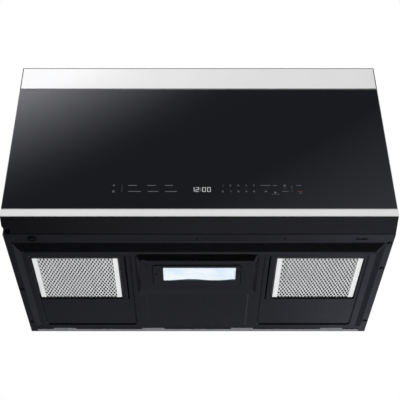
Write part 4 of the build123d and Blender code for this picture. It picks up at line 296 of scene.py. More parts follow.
def moulded(name, colour, rough, spread=0.06, grain_scale=1400.0, grain=0.00003, **values):
    """Moulded plastic: spark-eroded grain, faint flow clouds and softened edges."""
    s = Surface(name)
    flow = s.noise(14.0, 3.0, 0.55, (1.0, 2.2, 1.0), 0.6)
    speck = s.cells(grain_scale, "Distance")
    eroded = s.bump(speck, grain, 0.6, s.rounded(0.0005))
    s.set(
        Base_Color=s.clouded(
            flow, s.remap(speck, 0.0, 0.7), colour,
            (1 - spread, 1 + spread), (1 - spread * 2, 1 + spread * 0.5),
        ),
        Roughness=s.worn(s.noise(60.0, 4.0, 0.6), rough, 0.88, 1.12),
        Normal=s.bump(s.noise(grain_scale * 0.4, 3.0, 0.6), grain * 0.6, 0.5, eroded),
        **values,
    )
    return s.material


def metal(
    name, colour, rough, metallic=1.0, brush=(1.0, 30.0, 30.0), lines=90.0, scratch=0.000006,
    edge=0.0004,
):
    """Sheet or machined metal: drawn lines, blotches and a few scratches."""
    s = Surface(name)
    drawn = s.noise(lines, 5.0, 0.6, brush)
    blotch = s.noise(18.0, 4.0, 0.6)
    s.set(
        Base_Color=s.clouded(
            blotch, s.remap(drawn, THIN, DENSE), colour, (0.88, 1.0), (0.97, 1.08),
        ),
        Metallic=metallic,
        Roughness=s.worn(blotch, rough, 0.8, 1.25),
        Normal=s.bump(drawn, scratch, 0.8, s.rounded(edge)),
    )
    return s.material


# ---------------------------------------------------------------- materials

BLACK_PAINT = (0.0021, 0.0022, 0.0031)
BLACK_FINISH = {"rough": 0.25, "spread": 0.12, "edge": 0.0004, "creases": 0.0030, "IOR": 1.5}
BASE_FOLDS = (
    (-0.3503, -1, 0.366, 0.0062, 0.0117),
    (-0.3343, 1, 0.350, 0.0095, -0.0180),
    (-0.3163, 1, 0.108, 0.0060, -0.0053),
)
black_paint = painted("black_paint", BLACK_PAINT, **BLACK_FINISH)
base_paint = painted("base_paint", BLACK_PAINT, folds=BASE_FOLDS, **BLACK_FINISH)
door_paint = painted("door_paint", (0.010, 0.010, 0.011), 0.40, 0.12, IOR=1.5)
case_paint = painted("case_paint", (0.060, 0.060, 0.065), 0.42, 0.10, IOR=1.5)
black_plastic = moulded("black_plastic", (0.0085, 0.0085, 0.0095), 0.42, 0.10, 1500.0, IOR=1.5)
foot_plastic = moulded(
    "foot_plastic", (0.0022, 0.0022, 0.0025), 0.25, 0.10, 1700.0, 0.00002, IOR=1.5,
)
cover_plastic = moulded("cover_plastic", (0.0024, 0.0024, 0.0028), 0.30, 0.10, 1600.0, IOR=1.5)
white_plastic = moulded("white_plastic", (0.80, 0.80, 0.77), 0.42, 0.03, 1500.0)
motor_paint = painted("motor_paint", (0.16, 0.16, 0.17), 0.45, 0.12)
steel = metal("bright_steel", (0.62, 0.62, 0.63), 0.28)
capacitor_can = metal("capacitor_can", (0.78, 0.78, 0.79), 0.32)
frame_aluminium = metal(
    "frame_aluminium", (0.96, 0.965, 0.98), 0.42, 0.05, (30.0, 1.0, 30.0), 70.0, 0.00001,
)


CRYSTALS = 115.0


def zinc_material(name, painted_shade=None):
    """Hot-dipped zinc: flat crystals of differing greys.

    A painted shade can be laid on: a dark, dull band standing in for the shade inside the cabinet,
    as (y that it lies in front of, its lowest z, its highest z).
    """
    s = Surface(name)
    crystal = s.grey(s.cells(CRYSTALS, "Color"))
    spangle = s.ramp(crystal, (0.1, (0.29, 0.295, 0.305)), (0.9, (0.37, 0.375, 0.385)))
    bloom = s.noise(26.0, 5.0, 0.65)
    shade = s.mix(s.remap(bloom, 0.55, 0.8), spangle, (0.42, 0.425, 0.43))
    border = s.cells(CRYSTALS, "Distance", "DISTANCE_TO_EDGE")
    rough = s.remap(crystal, 0.0, 1.0, 0.34, 0.58)
    # painted shade: the inner face of the rear panel near its foot is darkened, standing in for
    # the shade inside the cabinet
    if painted_shade:
        behind, lowest, highest = painted_shade
        _, y, z = s.axes()
        shaded = s.product(
            s.remap(y, behind - 0.0001, behind + 0.0001, 1.0, 0.0),
            s.inside(z, lowest, highest, 0.0002),
        )
        shade = s.mix(shaded, shade, (0.004, 0.004, 0.0045))
        rough = s.mix(shaded, rough, (0.95, 0.95, 0.95))
        s.set(Specular_IOR_Level=0.15)
    s.set(
        Base_Color=shade,
        Metallic=0.55,
        Roughness=rough,
        Normal=s.bump(s.remap(border, 0.0, 0.12), 0.00001, 0.6, s.rounded(0.0004)),
    )
    return s.material


RIM_SOFT, WINDOW_SOFT = 0.00025, 0.0035
GLASS_SPREAD = 0.03
# the tones of a grey band along the edges of a panel
GREY_RIM = (0.20, 0.215, 0.21), (0.34, 0.355, 0.35)


def glass_panel(
    name, colour, box, window=None, rim=GREY_RIM, rim_width=0.0009, rim_below=0.0009,
):
    """Back-painted tempered glass: smooth face, a rim all round, faint roller waves.

    A window is (its left, right, bottom and top, the colour seen between its dots).
    """
    s = Surface(name)
    x, _, z = s.axes()
    shade = s.clouded(
        s.noise(5.0, 3.0, 0.5), s.remap(s.noise(900.0, 2.0, 0.5), 0.4, 0.6), colour,
        (1 - GLASS_SPREAD, 1 + GLASS_SPREAD), (1 - GLASS_SPREAD * 0.4, 1 + GLASS_SPREAD * 1.4),
    )
    if window:
        left, right_side, bottom, top, seen = window
        pane = s.product(
            s.inside(x, left, right_side, WINDOW_SOFT), s.inside(z, bottom, top, WINDOW_SOFT),
        )
        dots = s.cells(620.0, "Distance", randomness=0.0)
        seen_through = s.mix(s.remap(dots, 0.25, 0.4), seen, colour)
        shade = s.mix(pane, shade, seen_through)
    low, high = box
    on_face = s.product(
        s.inside(x, low[0] + rim_width, high[0] - rim_width, RIM_SOFT),
        s.inside(z, low[2] + rim_below, high[2] - rim_width, RIM_SOFT),
    )
    edge = s.mix(s.noise(700.0, 3.0, 0.6), *rim)
    shade = s.mix(on_face, edge, shade)
    smear = s.noise(7.0, 5.0, 0.6, (1.0, 1.0, 2.4), 0.4)
    smooth = s.ramp(smear, (0.35, (0.028,) * 3), (0.75, (0.055,) * 3))
    s.set(
        Base_Color=shade,
        Roughness=s.mix(on_face, (0.55, 0.55, 0.55), smooth),
        Normal=s.bump(s.noise(5.5, 2.0, 0.4, (1.0, 1.0, 0.5)), 0.00006, 0.25, s.rounded(0.0007)),
        IOR=1.52,
    )
    return s.material


CAVITY_UNDERSIDE = 0.0525


def enamel_material():
    """Speckled oven enamel with cooking haze, and painted shade: near-black under the floor,
    standing in for the shade inside the cabinet.
    """
    s = Surface("oven_enamel")
    fleck = s.cells(900.0, "Distance")
    haze = s.noise(7.0, 5.0, 0.65)
    pale = s.ramp(haze, (0.35, (0.52, 0.52, 0.50)), (0.7, (0.63, 0.63, 0.61)))
    speckled = s.mix(s.remap(fleck, 0.10, 0.20, 1.0, 0.0), pale, (0.12, 0.12, 0.12))
    # painted shade: near-black under the cavity floor, standing in for the shade inside the
    # cabinet
    under_floor_shade = s.ramp(haze, (0.35, (0.020,) * 3), (0.7, (0.030,) * 3))
    _, _, z = s.axes()
    under_floor = s.remap(z, CAVITY_UNDERSIDE - 0.00005, CAVITY_UNDERSIDE + 0.00005, 1.0, 0.0)
    s.set(
        Base_Color=s.mix(under_floor, speckled, under_floor_shade),
        Roughness=s.remap(haze, THIN, DENSE, 0.22, 0.34),
        Normal=s.bump(s.noise(300.0, 2.0, 0.5), 0.00002, 0.5, s.rounded(0.0008)),
    )
    return s.material


def clear_glass_material():
    """Clear tempered glass with faint smears."""
    s = Surface("clear_glass")
    smear = s.noise(16.0, 5.0, 0.65)
    s.set(
        Base_Color=s.ramp(smear, (THIN, (0.90, 0.945, 0.93)), (DENSE, (0.95, 0.975, 0.965))),
        Roughness=s.remap(smear, 0.35, 0.75, 0.02, 0.07),
        Transmission_Weight=1.0,
        IOR=1.5,
        Normal=s.bump(s.noise(22.0, 3.0, 0.5), 0.0001, 0.15),
    )
    return s.material


def mica_material():
    """Mica sheet: pressed flakes of differing browns."""
    s = Surface("mica")
    flake = s.grey(s.cells(160.0, "Color"))
    s.set(
        Base_Color=s.ramp(flake, (0.0, (0.50, 0.46, 0.36)), (1.0, (0.70, 0.66, 0.55))),
        Roughness=s.remap(s.noise(120.0, 3.0), THIN, DENSE, 0.30, 0.55),
        Normal=s.bump(flake, 0.00003, 0.5),
    )
    return s.material


def copper_material():
    """Lacquered laminations and enamelled wire: fine parallel edges."""
    s = Surface("copper_lacquer")
    plates = s.waves("X", 320.0, 0.4)
    drip = s.noise(60.0, 4.0, 0.6)
    s.set(
        Base_Color=s.mix(
            plates,
            s.ramp(drip, (THIN, (0.26, 0.12, 0.06)), (DENSE, (0.40, 0.20, 0.10))),
            s.ramp(drip, (THIN, (0.40, 0.21, 0.11)), (DENSE, (0.52, 0.29, 0.17))),
        ),
        Roughness=s.remap(drip, THIN, DENSE, 0.25, 0.45),
        Normal=s.bump(plates, 0.00008, 0.6, s.rounded(0.0005)),
    )
    return s.material


def board_material():
    """Printed board: solder mask, tracks and pads."""
    s = Surface("board")
    tracks = s.new("ShaderNodeTexBrick")
    tracks.inputs["Scale"].default_value = 160.0
    tracks.inputs["Mortar Size"].default_value = 0.06
    tracks.inputs["Color1"].default_value = (0.04, 0.19, 0.09, 1)
    tracks.inputs["Color2"].default_value = (0.05, 0.23, 0.11, 1)
    tracks.inputs["Mortar"].default_value = (0.09, 0.34, 0.17, 1)
    s.join(s.stretched((1.0, 1.7, 1.0)), tracks.inputs["Vector"])
    pads = s.cells(260.0, "Distance", randomness=0.6)
    pad = s.remap(pads, 0.10, 0.16, 1.0, 0.0)
    s.set(
        Base_Color=s.mix(pad, tracks.outputs["Color"], (0.62, 0.60, 0.50)),
        Roughness=s.remap(s.noise(90.0, 3.0), THIN, DENSE, 0.30, 0.46),
        Normal=s.bump(tracks.outputs["Fac"], 0.00003, 0.6),
    )
    return s.material


def charcoal_material():
    """Carbon granules."""
    s = Surface("charcoal")
    grain = s.cells(420.0, "Distance")
    dust = s.ramp(s.noise(50.0, 3.0), (THIN, (0.012,) * 3), (DENSE, (0.030,) * 3))
    s.set(
        Base_Color=s.mix(s.remap(grain, 0.1, 0.8), dust, (0.055, 0.055, 0.056)),
        Roughness=s.remap(grain, 0.0, 0.8, 0.55, 0.95),
        Normal=s.bump(grain, 0.0006, 0.9),
    )
    return s.material


def screen_material():
    """Black enamelled screen with rows of small punched holes, drawn as near-black dots: painted
    shade where one would see through.
    """
    s = Surface("door_screen")
    holes = s.cells(480.0, "Distance", randomness=0.0)
    # painted shade: the holes are near-black dots, standing in for the shade seen through them
    hole = s.remap(holes, 0.34, 0.40, 1.0, 0.0)
    s.set(
        Base_Color=s.mix(hole, (0.028, 0.028, 0.029), (0.002, 0.002, 0.002)),
        Roughness=s.remap(s.noise(60.0, 4.0), THIN, DENSE, 0.34, 0.5),
        Normal=s.bump(hole, 0.0003, 0.6),
    )
    return s.material


LENS_BORDER, LENS_BORDER_SOFT = 0.0040, 0.0016
# the shade that shows along the rear of the lens: a wave of this pitch, phase and height
SHADE_PITCH, SHADE_PHASE, SHADE_HEIGHT = 64.0, 5.73, 0.0024
SHADE_FROM, SHADE_TO = 0.0052, 0.0036
SHADE_AT_ENDS, SHADE_ENDS_SOFT = 0.0012, 0.0004
LENS_GLOW = 0.07


def lens_material():
    """Frosted lamp lens, lit from behind by a row of diodes."""
    s = Surface("lamp_lens")
    x, y, _ = s.axes()
    low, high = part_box("lamp_lens")
    core = s.product(*(
        s.inside(axis, low[k] + LENS_BORDER, high[k] - LENS_BORDER, LENS_BORDER_SOFT)
        for k, axis in enumerate((x, y))
    ))
    swing = s.math("SINE", s.math("ADD", s.product(x, SHADE_PITCH), SHADE_PHASE))
    waved = s.math("SUBTRACT", y, s.product(swing, SHADE_HEIGHT))
    shown = s.product(
        s.remap(waved, high[1] - SHADE_FROM, high[1] - SHADE_TO, 1.0, 0.0),
        s.inside(x, low[0] + SHADE_AT_ENDS, high[0] - SHADE_AT_ENDS, SHADE_ENDS_SOFT),
    )
    wavy = s.noise(34.0, 2.0, 0.5, (1.0, 1.6, 1.0))
    spots = s.noise(15.0, 1.0, 0.4, (1.0, 2.2, 1.0))
    lit = s.ramp(
        spots, (0.38, (0.66, 0.80, 0.98)), (0.50, (0.84, 0.93, 1.0)), (0.62, (0.98, 1.0, 1.0)),
    )
    edge = s.ramp(wavy, (0.35, (0.60, 0.70, 0.84)), (0.65, (0.80, 0.88, 0.97)))
    glow = s.mix(shown, (0.030, 0.060, 0.070), s.mix(core, edge, lit))
    s.set(
        Base_Color=s.mix(s.product(shown, 0.5), glow, (0.80, 0.88, 0.95)),
        Roughness=s.remap(wavy, THIN, DENSE, 0.25, 0.4),
        Emission_Color=glow,
        Emission_Strength=LENS_GLOW,
        Normal=s.bump(s.waves("Y", 130.0, 1.2), 0.00015, 0.5, s.rounded(0.0008)),
    )
    return s.material


# painted shade on the rear panel: y that it lies in front of, its lowest z, its highest z
REAR_PAINTED_SHADE = (-0.0009, 0.0015, 0.0500)
DOOR_WINDOW = (-0.2493, 0.1408, 0.1508, 0.2389, (0.0136, 0.0144, 0.0182))
PALE_RIM = (0.62, 0.635, 0.63), (0.74, 0.755, 0.75)
DARK_RIM = (0.030, 0.030, 0.032), (0.050, 0.050, 0.052)
zinc = zinc_material("zinc_sheet")
rear_zinc = zinc_material("rear_zinc", REAR_PAINTED_SHADE)
enamel = enamel_material()
clear_glass = clear_glass_material()
mica = mica_material()
copper = copper_material()
board = board_material()
charcoal = charcoal_material()
screen = screen_material()
lens = lens_material()
black_glass = glass_panel(
    "black_glass", (0.0113, 0.0120, 0.0154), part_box("door_glass"), DOOR_WINDOW,
)
band_glass = glass_panel(
    "band_glass", (0.885, 0.885, 0.885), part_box("fascia_panel"),
    rim=DARK_RIM, rim_width=0.0020, rim_below=0.0004,
)
strip_glass = glass_panel(
    "strip_glass", (0.900, 0.900, 0.905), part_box("door_lower_trim"), rim=PALE_RIM,
)

node_materials = {
    "outer_wrapper": case_paint,
    "rear_panel": rear_zinc,
    "base_plate": base_paint,
    "underside_screws": black_paint,
    "front_plate": black_paint,
    "fascia_panel": band_glass,
    "fascia_frame": black_plastic,
    "charcoal_filter": charcoal,
    "exhaust_cover": zinc,
    "cord_grommet": black_plastic,
    "component_shelf": zinc,
    "filter_frame_left": frame_aluminium,
    "filter_frame_right": frame_aluminium,
    "filter_mesh_left": frame_aluminium,
    "filter_mesh_right": frame_aluminium,
    "lamp_cover": cover_plastic,
    "lamp_lens": lens,
    "lamp_housing": white_plastic,
    "lamp_board": board,
    "oven_cavity": enamel,
    "waveguide_cover": mica,
    "waveguide": zinc,
    "magnetron": steel,
    "hv_transformer": copper,
    "hv_capacitor": capacitor_can,
    "cooling_fan_frame": black_plastic,
    "cooling_fan_motor": motor_paint,
    "cooling_fan_blade": white_plastic,
    "control_board": board,
    "cavity_lamp": white_plastic,
    "thermal_cutouts": steel,
    "turntable_motor": steel,
    "turntable_coupler": white_plastic,
    "turntable_tray": clear_glass,
    "roller_ring": white_plastic,
    "turntable_roller_1": white_plastic,
    "turntable_roller_2": white_plastic,
    "turntable_roller_3": white_plastic,
    "door_glass": black_glass,
    "door_lower_trim": strip_glass,
    "door_foot": foot_plastic,
    "door_frame": door_paint,
    "hinge_bushes": black_plastic,
    "door_screen": screen,
    "door_inner_glass": clear_glass,
    "choke_cover": black_plastic,
    "touch_board": board,
    "display_module": black_plastic,
    "latch_bar": white_plastic,
    "latch_catch": white_plastic,
    "interlock_switches": black_plastic,
    "switch_plunger_upper": white_plastic,
    "switch_plunger_lower": white_plastic,
    "switch_plunger_monitor": white_plastic,
    "hinge_lower": black_paint,
    "hinge_upper": black_paint,
    "blower_housing": zinc,
    "blower_motor": motor_paint,
    "blower_wheels": white_plastic,
}
for name, material in node_materials.items():
    slots = nodes[name].material_slots
    if not slots:
        nodes[name].data.materials.append(material)
    for each in slots:
        each.link = "OBJECT"
        each.material = material


# ---------------------------------------------------------------- mesh helpers

def piece(name, mesh, material, body):
    made = bpy.data.objects.new(name, mesh)
    scene.collection.objects.link(made)
    mesh.materials.append(material)
    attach(made, body)
    return made


LEVEL, SHORTEST = 1e-12, 1e-6


def clipped(points, low_x, high_x, low_y, high_y):
    """The part of a run of (x, y, z) points inside a rectangle, as runs of their own."""
    runs, current = [], []
    for a, b in zip(points, points[1:]):
        t0, t1 = 0.0, 1.0
        shown = True
        for start, change, low, high in (
            (a[0], b[0] - a[0], low_x, high_x), (a[1], b[1] - a[1], low_y, high_y),
        ):
            if abs(change) < LEVEL:
                if start < low or start > high:
                    shown = False
                continue
            near, far = sorted(((low - start) / change, (high - start) / change))
            t0, t1 = max(t0, near), min(t1, far)
        if not shown or t1 - t0 < SHORTEST:
            if len(current) > 1:
                runs.append(current)
            current = []
            continue
        first = tuple(p + (q - p) * t0 for p, q in zip(a, b))
        last = tuple(p + (q - p) * t1 for p, q in zip(a, b))
        if not current:
            current = [first]
        current.append(last)
        if t1 < 1.0:
            runs.append(current)
            current = []
    if len(current) > 1:
        runs.append(current)
    return runs


def strand(mesh, run, width, depth):
    """A closed ribbon of diamond section along a run of points."""
    rings = []
    for index, at in enumerate(run):
        before = run[max(index - 1, 0)]
        after = run[min(index + 1, len(run) - 1)]
        along = Vector((after[0] - before[0], after[1] - before[1], 0)).normalized()
        across = Vector((-along.y, along.x, 0)) * width / 2
        middle = Vector(at)
        corners = (across, Vector((0, 0, depth / 2)), -across, Vector((0, 0, -depth / 2)))
        rings.append([mesh.verts.new(middle + corner) for corner in corners])
    for low, high in zip(rings, rings[1:]):
        for k in range(4):
            mesh.faces.new((low[k], low[(k + 1) % 4], high[(k + 1) % 4], high[k]))
    mesh.faces.new(rings[0][::-1])
    mesh.faces.new(rings[-1])


MESH_REACH = 0.125
MESH_SWING = 0.92
MESH_MARGIN = 0.0004
KNUCKLE_LIFT = 0.00030
UNEVEN_X, UNEVEN_Y, UNEVEN_WIDTH = 0.00006, 0.00010, 0.06


def expanded_mesh(name, node, layer, body, seed, material):
    """A sheet of expanded aluminium: zigzag strands that meet at their knuckles."""
    low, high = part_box(node)
    rng = random.Random(seed)
    mesh = bmesh.new()
    centre_x, centre_y = (low.x + high.x) / 2, (low.y + high.y) / 2
    short, long_way, turn, height, width, depth = layer
    turn = math.radians(turn)
    cos_turn, sin_turn = math.cos(turn), math.sin(turn)
    column_count = int(2 * MESH_REACH / (short / 2))
    row_count = int(2 * MESH_REACH / (long_way / 2))
    lift = low.z + height
    bounds = (
        low.x + MESH_MARGIN, high.x - MESH_MARGIN, low.y + MESH_MARGIN, high.y - MESH_MARGIN,
    )
    for column in range(column_count):
        base = -MESH_REACH + column * short / 2
        sign = 1 if column % 2 else -1
        points = []
        for row in range(row_count + 1):
            swing = (short / 4) * MESH_SWING * (1 if row % 2 else -1) * sign
            x = base + swing + rng.uniform(-UNEVEN_X, UNEVEN_X)
            y = -MESH_REACH + row * long_way / 2 + rng.uniform(-UNEVEN_Y, UNEVEN_Y)
            z = lift + KNUCKLE_LIFT * (1 if (row + column) % 2 else -1)
            points.append((
                centre_x + x * cos_turn - y * sin_turn,
                centre_y + x * sin_turn + y * cos_turn,
                z,
            ))
        for run in clipped(points, *bounds):
            strand(mesh, run, width * rng.uniform(1 - UNEVEN_WIDTH, 1 + UNEVEN_WIDTH), depth)
    data = bpy.data.meshes.new(name)
    bmesh.ops.recalc_face_normals(mesh, faces=mesh.faces)
    mesh.to_mesh(data)
    mesh.free()
    return piece(name, data, material, body)


EVEN = (1.0, 1.0, 1.0)
mesh_aluminium = metal(
    "mesh_aluminium", (0.965, 0.97, 0.995), 0.34, 0.06, EVEN, 900.0, 0.00001, 0.0002,
)
# painted shade: a dark copy of the mesh aluminium for the deeper strands, standing in for the
# shade they lie in
shaded_aluminium = metal(
    "shaded_aluminium", (0.10, 0.10, 0.105), 0.40, 0.20, EVEN, 900.0, 0.00001, 0.0002,
)
# pitch across and along the diamonds, turn in degrees, height above the node's lowest point, width
# and depth of a strand
FACE_LAYER = (0.0072, 0.0147, 0.0, 0.0008, 0.00210, 0.00026)
DEEP_LAYER = (0.0069, 0.0141, 3.5, 0.0030, 0.00160, 0.00045)
for side, seed in (("left", 11), ("right", 23)):
    node, body = "filter_mesh_" + side, "filter_" + side
    face = expanded_mesh("expanded_mesh_" + side, node, FACE_LAYER, body, seed, mesh_aluminium)
    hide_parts(node)
    expanded_mesh("expanded_layers_" + side, node, DEEP_LAYER, body, seed + 1, shaded_aluminium)


# ---------------------------------------------------------------- printed marks

GLASS_FACE = -0.420
MARKS_RIGHT, MARKS_UP = 0.00095, 0.00070
INK, SINK = 0.00003, 0.00002
# marks that cross lie at slightly different heights, so that no two faces share a plane
INK_STEP, INK_STEPS = 0.0000004, 7
END_STEPS = 5


class Print:
    """Thin raised ink on the face of the glass, as closed little slabs."""

    def __init__(self):
        self.mesh = bmesh.new()
        self.count = 0

    def slab(self, outline):
        """A flat mark of any convex outline."""
        front = GLASS_FACE - INK - (self.count % INK_STEPS) * INK_STEP
        self.count += 1
        outline = [(x + MARKS_RIGHT, z + MARKS_UP) for x, z in outline]
        near = [self.mesh.verts.new((x, front, z)) for x, z in outline]
        far = [self.mesh.verts.new((x, GLASS_FACE + SINK, z)) for x, z in outline]
        self.mesh.faces.new(near)
        self.mesh.faces.new(far[::-1])
        for k in range(len(outline)):
            following = (k + 1) % len(outline)
            self.mesh.faces.new((near[k], far[k], far[following], near[following]))

    def line(self, x0, z0, x1, z1, width):
        """A stroke with round ends."""
        along = math.atan2(z1 - z0, x1 - x0)
        outline = []
        for cx, cz, start in ((x1, z1, along - math.pi / 2), (x0, z0, along + math.pi / 2)):
            for step in range(END_STEPS + 1):
                a = start + math.pi * step / END_STEPS
                outline.append((cx + math.cos(a) * width / 2, cz + math.sin(a) * width / 2))
        self.slab(outline)

    def ring(self, x, z, radius, width, start=0.0, sweep=360.0, steps=20):
        """A ring, an arc or a polygon, in short strokes."""
        points = [
            (x + radius * math.cos(math.radians(start + sweep * k / steps)),
             z + radius * math.sin(math.radians(start + sweep * k / steps)))
            for k in range(steps + 1)
        ]
        for a, b in zip(points, points[1:]):
            self.line(*a, *b, width)

    def digit(self, character, x, z, width, height, stroke):
        """One digit of seven strokes, with its lower left corner at x, z."""
        left, right_side = x + stroke / 2, x + width - stroke / 2
        bottom, top, middle = z + stroke / 2, z + height - stroke / 2, z + height / 2
        strokes = {
            "a": (left, top, right_side, top), "b": (right_side, middle, right_side, top),
            "c": (right_side, bottom, right_side, middle), "d": (left, bottom, right_side, bottom),
            "e": (left, bottom, left, middle), "f": (left, middle, left, top),
            "g": (left, middle, right_side, middle),
        }
        for key in SEGMENTS[character]:
            self.line(*strokes[key], stroke)

    def finish(self, name, material):
        data = bpy.data.meshes.new(name)
        bmesh.ops.recalc_face_normals(self.mesh, faces=self.mesh.faces)
        self.mesh.to_mesh(data)
        self.mesh.free()
        return piece(name, data, material, "door")


SEGMENTS = {
    "0": "abcdef", "1": "bc", "2": "abged", "3": "abgcd", "4": "fgbc",
    "5": "afgcd", "6": "afgedc", "7": "abc", "8": "abcdefg", "9": "abcfgd",
}


def ink(name, colour, glow=0.0):
    """Screen-printed ink: patches and fine dots, lit from behind where it glows."""
    s = Surface(name)
    patch = s.noise(700.0, 3.0, 0.6)
    dots = s.cells(3200.0, "Distance", randomness=0.3)
    shade = s.clouded(patch, s.remap(dots, 0.2, 0.6), colour, (0.86, 1.0), (0.96, 1.1))
    s.set(Base_Color=shade, Roughness=s.remap(patch, THIN, DENSE, 0.35, 0.55), IOR=1.5)
    if glow:
        s.set(Emission_Color=shade, Emission_Strength=glow)
    return s.material


grey_ink = ink("grey_ink", (0.105, 0.105, 0.110))
digit_ink = ink("digit_ink", (0.21, 0.21, 0.215))
red_ink = ink("red_ink", (0.16, 0.045, 0.05))
clock_light = ink("clock_light", (0.62, 0.63, 0.64), 0.35)
ROW_HIGH, ROW_LOW = 0.0882, 0.0733
BAR = 0.0017

# bars that stand for words: long ones by their ends, short ones by the ends of their middle line
LONG_BARS = (
    (ROW_HIGH, ((-0.1395, -0.1214), (-0.1022, -0.0858), (-0.0675, -0.0516))),
    (ROW_LOW, ((-0.1389, -0.1137), (-0.1010, -0.0799), (-0.0670, -0.0440))),
)
SHORT_BARS = (
    (0.1196, 0.1371, ROW_HIGH, 0.0013),
    (0.1435, 0.1503, ROW_HIGH, 0.0016),
    (0.1606, 0.1719, ROW_LOW, 0.0014),
    (0.1885, 0.1982, ROW_HIGH, 0.0013),
    (0.1395, 0.1540, 0.0664, 0.0008),
    (0.1640, 0.1684, 0.0815, 0.0008),
)
bars = Print()
for row, spans in LONG_BARS:
    for start, end in spans:
        bars.line(start + BAR / 2, row, end - BAR / 2, row, BAR)
for start, end, row, width in SHORT_BARS:
    bars.line(start, row, end, row, width)
bars.finish("touch_bars", grey_ink)

SIGNS_X = -0.1672
DIAL_X, DIAL_Z = 0.1657, ROW_HIGH - 0.0004
SEPARATOR = (0.0723, 0.0892, 0.0003)
icons = Print()
for x in (-0.1510, 0.1796):
    bottom, top, width = SEPARATOR
    icons.line(x, bottom, x, top, width)
icons.ring(SIGNS_X, ROW_HIGH + 0.0004, 0.0015, 0.0007)
icons.line(SIGNS_X, ROW_HIGH - 0.0024, SIGNS_X, ROW_HIGH - 0.0018, 0.0008)
icons.ring(SIGNS_X, ROW_LOW, 0.0019, 0.0008, 120, 300)
icons.line(SIGNS_X, ROW_LOW + 0.0004, SIGNS_X, ROW_LOW + 0.0026, 0.0008)
icons.ring(0.1285, ROW_LOW, 0.0014, 0.0007)
icons.ring(0.1467, 0.0707, 0.0020, 0.0008, 0, 360, 3)
icons.ring(DIAL_X, DIAL_Z, 0.0020, 0.0007)
icons.line(DIAL_X, DIAL_Z, DIAL_X, ROW_HIGH + 0.0009, 0.0006)
icons.line(DIAL_X, DIAL_Z, DIAL_X + 0.0010, DIAL_Z, 0.0006)
icons.line(0.1935, 0.0690, 0.1975, 0.0690, 0.0010)
icons.finish("touch_icons", digit_ink)

stop = Print()
stop.line(0.1900, ROW_LOW, 0.1998, ROW_LOW, 0.0013)
stop.finish("stop_mark", red_ink)

PAD_COLUMNS = (0.0449, 0.0599, 0.0751, 0.0905, 0.1059)
PAD_WIDTH, PAD_HEIGHT, PAD_STROKE = 0.0024, 0.0040, 0.0005
pad = Print()
for row, characters in ((ROW_HIGH, "12345"), (ROW_LOW, "67890")):
    for middle, character in zip(PAD_COLUMNS, characters):
        pad.digit(
            character, middle - PAD_WIDTH / 2, row - PAD_HEIGHT / 2,
            PAD_WIDTH, PAD_HEIGHT, PAD_STROKE,
        )
pad.finish("number_pad", digit_ink)

CLOCK_BOTTOM, CLOCK_HEIGHT, CLOCK_STROKE = 0.0724, 0.0112, 0.0009
ONE_X, COLON_X, COLON_STROKE = -0.0105, 0.0018, 0.0011
clock_top = CLOCK_BOTTOM + CLOCK_HEIGHT - CLOCK_STROKE / 2
clock = Print()
clock.line(ONE_X, CLOCK_BOTTOM + CLOCK_STROKE / 2, ONE_X, clock_top, CLOCK_STROKE)
clock.line(ONE_X, clock_top, ONE_X - 0.0015, clock_top - 0.0018, 0.0007)
clock.digit("2", -0.00745, CLOCK_BOTTOM, 0.0062, CLOCK_HEIGHT, CLOCK_STROKE)
for low, high in ((0.0030, 0.0034), (0.0078, 0.0082)):
    clock.line(COLON_X, CLOCK_BOTTOM + low, COLON_X, CLOCK_BOTTOM + high, COLON_STROKE)
for left in (0.00525, 0.01475):
    clock.digit("0", left, CLOCK_BOTTOM, 0.0066, CLOCK_HEIGHT, CLOCK_STROKE)
clock.finish("clock_digits", clock_light)


# ---------------------------------------------------------------- light

world = bpy.data.worlds.new("studio")
scene.world = world
world.use_nodes = True
world.node_tree.nodes.clear()
sky = Nodes(world.node_tree)


def smooth(value, low, high, out_low=0.0, out_high=1.0):
    """A soft step of the sky."""
    return sky.remap(value, low, high, out_low, out_high, "SMOOTHSTEP")


def blended(first, second, share):
    return sky.total(
        sky.product(first, sky.math("SUBTRACT", 1.0, share)), sky.product(second, share),
    )


toward = sky.new("ShaderNodeSeparateXYZ")
sky.join(sky.new("ShaderNodeTexCoord").outputs["Generated"], toward.inputs[0])
to_x, to_y, to_z = toward.outputs

# a large soft panel up to the left in front, fading across a dark studio
PANEL_Z, PANEL_X, PANEL_EDGE = 10.36, -4.497, 7.001
PANEL_FADE, PANEL_LEVEL = 2.509, 3.038
slope = sky.total(sky.product(to_z, PANEL_Z), sky.product(to_x, PANEL_X))
panel = sky.product(
    sky.math("POWER", sky.math("SUBTRACT", slope, PANEL_EDGE, True), PANEL_FADE),
    PANEL_LEVEL,
    smooth(to_y, -0.45, -0.60),
)
# a weak card low to the right in front
CARD_X, CARD_Z, CARD_EDGE, CARD_LEVEL = 2.598, 7.509, 4.577, 0.582
card = sky.math("SUBTRACT", sky.product(to_x, CARD_X), sky.product(to_z, CARD_Z))
card = sky.product(
    sky.math("ADD", card, CARD_EDGE, True), smooth(to_z, 0.20, 0.50, 0.0, CARD_LEVEL),
)
front = sky.total(panel, card, smooth(to_z, -0.30, -0.70, 0.03, 0.01))

